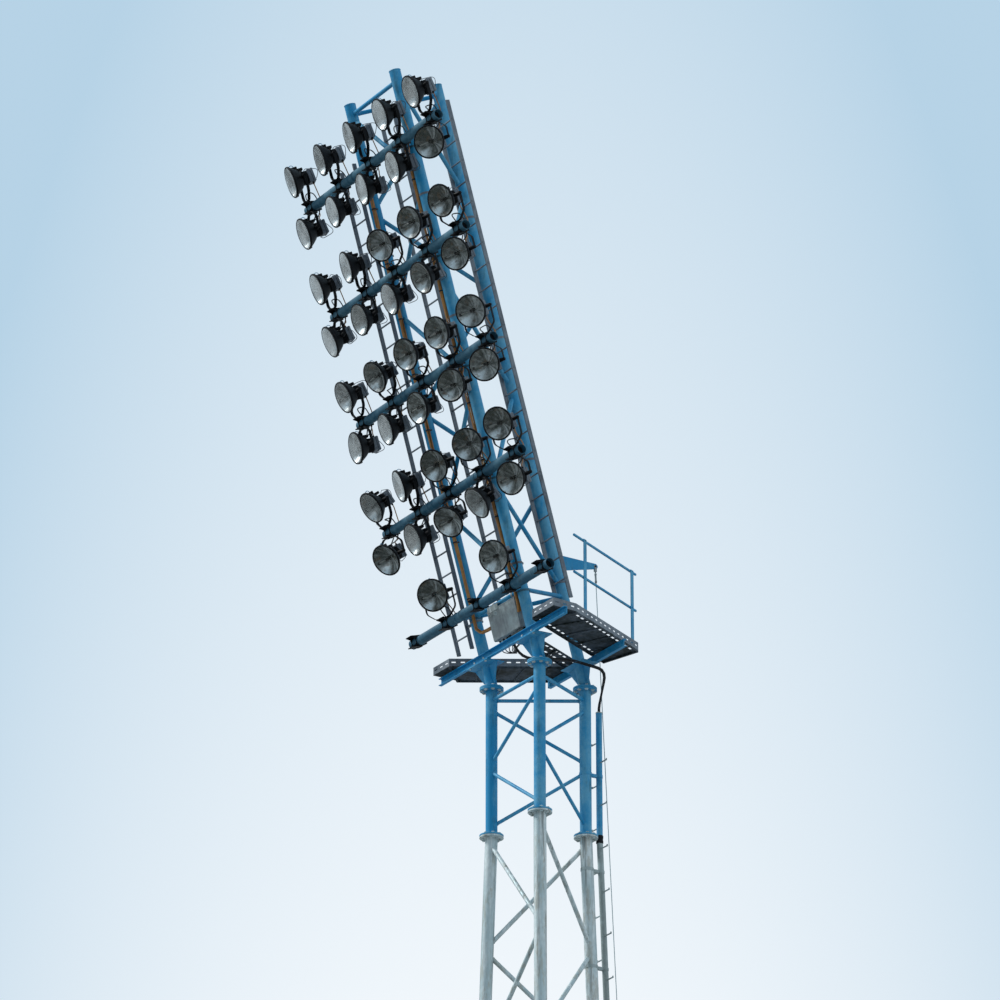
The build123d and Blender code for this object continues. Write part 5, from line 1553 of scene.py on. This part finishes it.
class PYLON_OT_cables(PylonPart, bpy.types.Operator):
    """Cable bundles up the front legs with branches to the crossbars, and the supply bundle to the pole"""

    bl_idname = "pylon.cables"
    bl_label = "Cables"

    def build(self, sizes):
        bundles, bands, supply = Shape(), Shape(), Shape()
        r = sizes.cable_d / 2
        top = crossbar_along(ROWS - 1) + 0.15
        for leg, side, edge in (("left", 1, BOX_LEFT), ("right", -1, BOX_RIGHT)):
            x = HEAD_FOOT[leg][0] + side * 0.07
            corners = [head(x, top, 0.07), head(x, 0.69, 0.07), head(edge, 0.69, 0.047)]
            strands(bundles, finely(rounded_path(corners, 0.12, 7), 0.12), 0.022, r * 1.15, 7, 1.2, 21 + side)
            for along in np.arange(1.2, top, 0.8):
                clasp(bands, head(x, along, 0.07), HEAD_W, HEAD_V, 0.032, 0.02, 0.002)
            for row in range(ROWS):
                along = crossbar_along(row)
                corners = [head(x, along + 0.16, 0.075), head(x, along, 0.09), head(x, along, 0.16)]
                path = finely(rounded_path(corners, 0.06, 5), 0.03)
                strands(bundles, path, 0.006, 0.0065, 3, 4.0, 31 + row)
        bends = [(0.06, -0.3, 0.25), (0.33, 0.3, 0.25), (0.33, 0.85, 0.2)]
        pole_top = leg_point("rear", POLE_TOP) + Y * POLE_OUT
        corners = [head(0.06, BOX_LOW, 0.0), *(np.array([x, AXIS_Y + y, DECK + z]) for x, y, z in bends)]
        corners += [pole_top + UP * 0.09, pole_top]
        strands(supply, finely(rounded_path(corners, 0.14, 7), 0.06), 0.014, r, 6, 2.5, 41)
        make_piece("supply_cables", supply, SHEATH, look="lead")
        make_piece("cable_bundles", bundles, SHEATH, ["cables"])
        make_piece("bundle_bands", bands, SHEATH, look="lead")


class PYLON_OT_finishes(PylonPart, bpy.types.Operator):
    """Finish of every piece of the frame that stays as it is"""

    bl_idname = "pylon.finishes"
    bl_label = "Frame finishes"

    def build(self, sizes):
        for part in frame["record"]["subparts"]:
            node = frame["nodes"][part["node"]]
            node.data.materials.clear()
            node.data.materials.append(finish(part["material_slot"]))


def view_axes():
    """Directions to the right, up and ahead in the photograph, from the camera's turn and pitch."""
    yaw, pitch = radians(59.528), 0.377
    ahead = np.array([-sin(yaw) * cos(pitch), cos(yaw) * cos(pitch), sin(pitch)])
    right = np.array([cos(yaw), sin(yaw), 0.0])
    return right, np.cross(right, ahead), ahead


class PYLON_OT_stage(bpy.types.Operator):
    """Plain pale floor, soft light, pale background and the camera"""

    bl_idname = "pylon.stage"
    bl_label = "Stage"
    bl_options = {"REGISTER", "UNDO"}

    def execute(self, context):
        colours = context.scene.pylon_colours
        self.floor(colours)
        self.lights()
        self.sky(colours)
        self.camera(context.scene)
        return {"FINISHED"}

    def floor(self, colours):
        """A level sheet of quads, pale to the camera and darker to the light that it throws back."""
        side = np.linspace(-250, 250, 5)
        x, y = np.meshgrid(side, side, indexing="ij")
        points = np.stack([x, y, np.full_like(x, -0.002)], axis=-1).reshape(-1, 3)
        first = (np.arange(4)[:, None] * 5 + np.arange(4)).ravel()
        mesh = bpy.data.meshes.new("floor")
        mesh.from_pydata(points.tolist(), [], np.stack([first, first + 5, first + 6, first + 1], axis=1).tolist())
        f = Finish("pale_floor")
        camera_ray = f.node("ShaderNodeLightPath", output="Is Camera Ray")
        seen = f.mix(f.noise(0.6, 3.0, 0.5) * 0.06, opaque(colours.floor), opaque(colours.floor, 0.9))
        mesh.materials.append(f.done(f.mix(camera_ray, (0.34, 0.36, 0.37, 1), seen), 0.9))
        floor = bpy.data.objects.new("floor", mesh)
        bpy.context.scene.collection.objects.link(floor)

    def lights(self):
        """A broad sun high on the left in front, and a weak one from the right behind."""
        for name, turn, strength, spread, tint in (
            ("high_sun", (radians(46), 0, radians(-40)), 2.7, 14, (1.0, 0.985, 0.96)),
            ("side_sky", (radians(58), 0, radians(120)), 0.5, 60, (0.9, 0.95, 1.0)),
        ):
            light = bpy.data.lights.new(name, "SUN")
            light.energy, light.angle, light.color = strength, radians(spread), tint
            lamp = bpy.data.objects.new(name, light)
            lamp.rotation_euler = turn
            bpy.context.scene.collection.objects.link(lamp)

    def sky(self, colours):
        """A pale background that is bluer upwards and towards the photograph's sides and pale at the horizon,
        and a plain level of light for everything else."""
        world = bpy.data.worlds.new("pale_sky")
        bpy.context.scene.world = world
        world.use_nodes = True
        w = Nodes(world.node_tree)
        w.tree.nodes.clear()
        output = w.tree.nodes.new("ShaderNodeOutputWorld")
        direction = w.node("ShaderNodeTexCoord", output="Generated")
        right, above, _ = view_axes()
        dot = {"operation": "DOT_PRODUCT"}
        across, over = (w.node("ShaderNodeVectorMath", dot, {0: direction, 1: axis}, "Value")
                        for axis in (right, above))
        level = w.node("ShaderNodeSeparateXYZ", inputs={0: direction}, output="Z")
        height = w.node("ShaderNodeMapRange", inputs={"Value": level, "From Max": 0.2})
        tone = w.node("ShaderNodeClamp", inputs={"Value": across * across * 61.0 + over * 3.67 + 0.384})
        seen = w.mix(tone * height, opaque(colours.sky_low), opaque(colours.sky_high))
        camera, glossy, through = (w.node("ShaderNodeLightPath", output=f"Is {ray} Ray")
                                   for ray in ("Camera", "Glossy", "Transmission"))
        shows = w.math("MAXIMUM", w.math("MAXIMUM", camera, glossy), through)
        lighting = w.node("ShaderNodeBackground", inputs={"Color": (0.86, 0.93, 1.0, 1), "Strength": 0.5})
        background = w.node("ShaderNodeBackground", inputs={"Color": seen})
        blend = w.node("ShaderNodeMixShader", inputs={0: shows, 1: lighting, 2: background})
        w.feed(output.inputs["Surface"], blend)

    def camera(self, scene):
        """The photograph's standpoint: level with a person's eyes, in front and to the right, looking up."""
        distance, bearing, eye_level = 69.0, radians(59.1), 1.77
        place = [sin(bearing) * distance, AXIS_Y - cos(bearing) * distance, eye_level]
        right, above, ahead = view_axes()
        data = bpy.data.cameras.new("photo_camera")
        data.lens, data.sensor_width, data.clip_end = 198.0, 36.0, 1000.0
        camera = bpy.data.objects.new("photo_camera", data)
        matrix = np.eye(4)
        matrix[:3] = np.stack([right, above, -ahead, place], axis=1)
        camera.matrix_world = Matrix(matrix.tolist())
        scene.collection.objects.link(camera)
        scene.camera = camera
        scene.view_settings.view_transform = "Standard"


OPERATORS = (
    PYLON_OT_feet,
    PYLON_OT_lower_column,
    PYLON_OT_straight_column,
    PYLON_OT_head_frame,
    PYLON_OT_crossbars,
    PYLON_OT_lamps,
    PYLON_OT_leads,
    PYLON_OT_ladders,
    PYLON_OT_platform,
    PYLON_OT_climbing_pole,
    PYLON_OT_junction_box,
    PYLON_OT_cables,
    PYLON_OT_finishes,
    PYLON_OT_stage,
)


class PYLON_PT_panel(bpy.types.Panel):
    """Lists the pylon's pieces"""

    bl_idname = "PYLON_PT_panel"
    bl_label = "Floodlight pylon"
    bl_space_type = "VIEW_3D"
    bl_region_type = "UI"
    bl_category = "Pylon"

    def draw(self, context):
        for operator in OPERATORS:
            self.layout.operator(operator.bl_idname)
        for group in (context.scene.pylon_sizes, context.scene.pylon_colours):
            for key in group.__annotations__:
                self.layout.prop(group, key)


CLASSES = (PylonSizes, PylonColours, *OPERATORS, PYLON_PT_panel)


def register():
    for one in CLASSES:
        bpy.utils.register_class(one)
    bpy.types.Scene.pylon_sizes = bpy.props.PointerProperty(type=PylonSizes)
    bpy.types.Scene.pylon_colours = bpy.props.PointerProperty(type=PylonColours)


def unregister():
    del bpy.types.Scene.pylon_sizes
    del bpy.types.Scene.pylon_colours
    for one in reversed(CLASSES):
        bpy.utils.unregister_class(one)


def main():
    register()
    for operator in OPERATORS:
        group, name = operator.bl_idname.split(".")
        getattr(getattr(bpy.ops, group), name)()


if __name__ == "__main__":
    main()
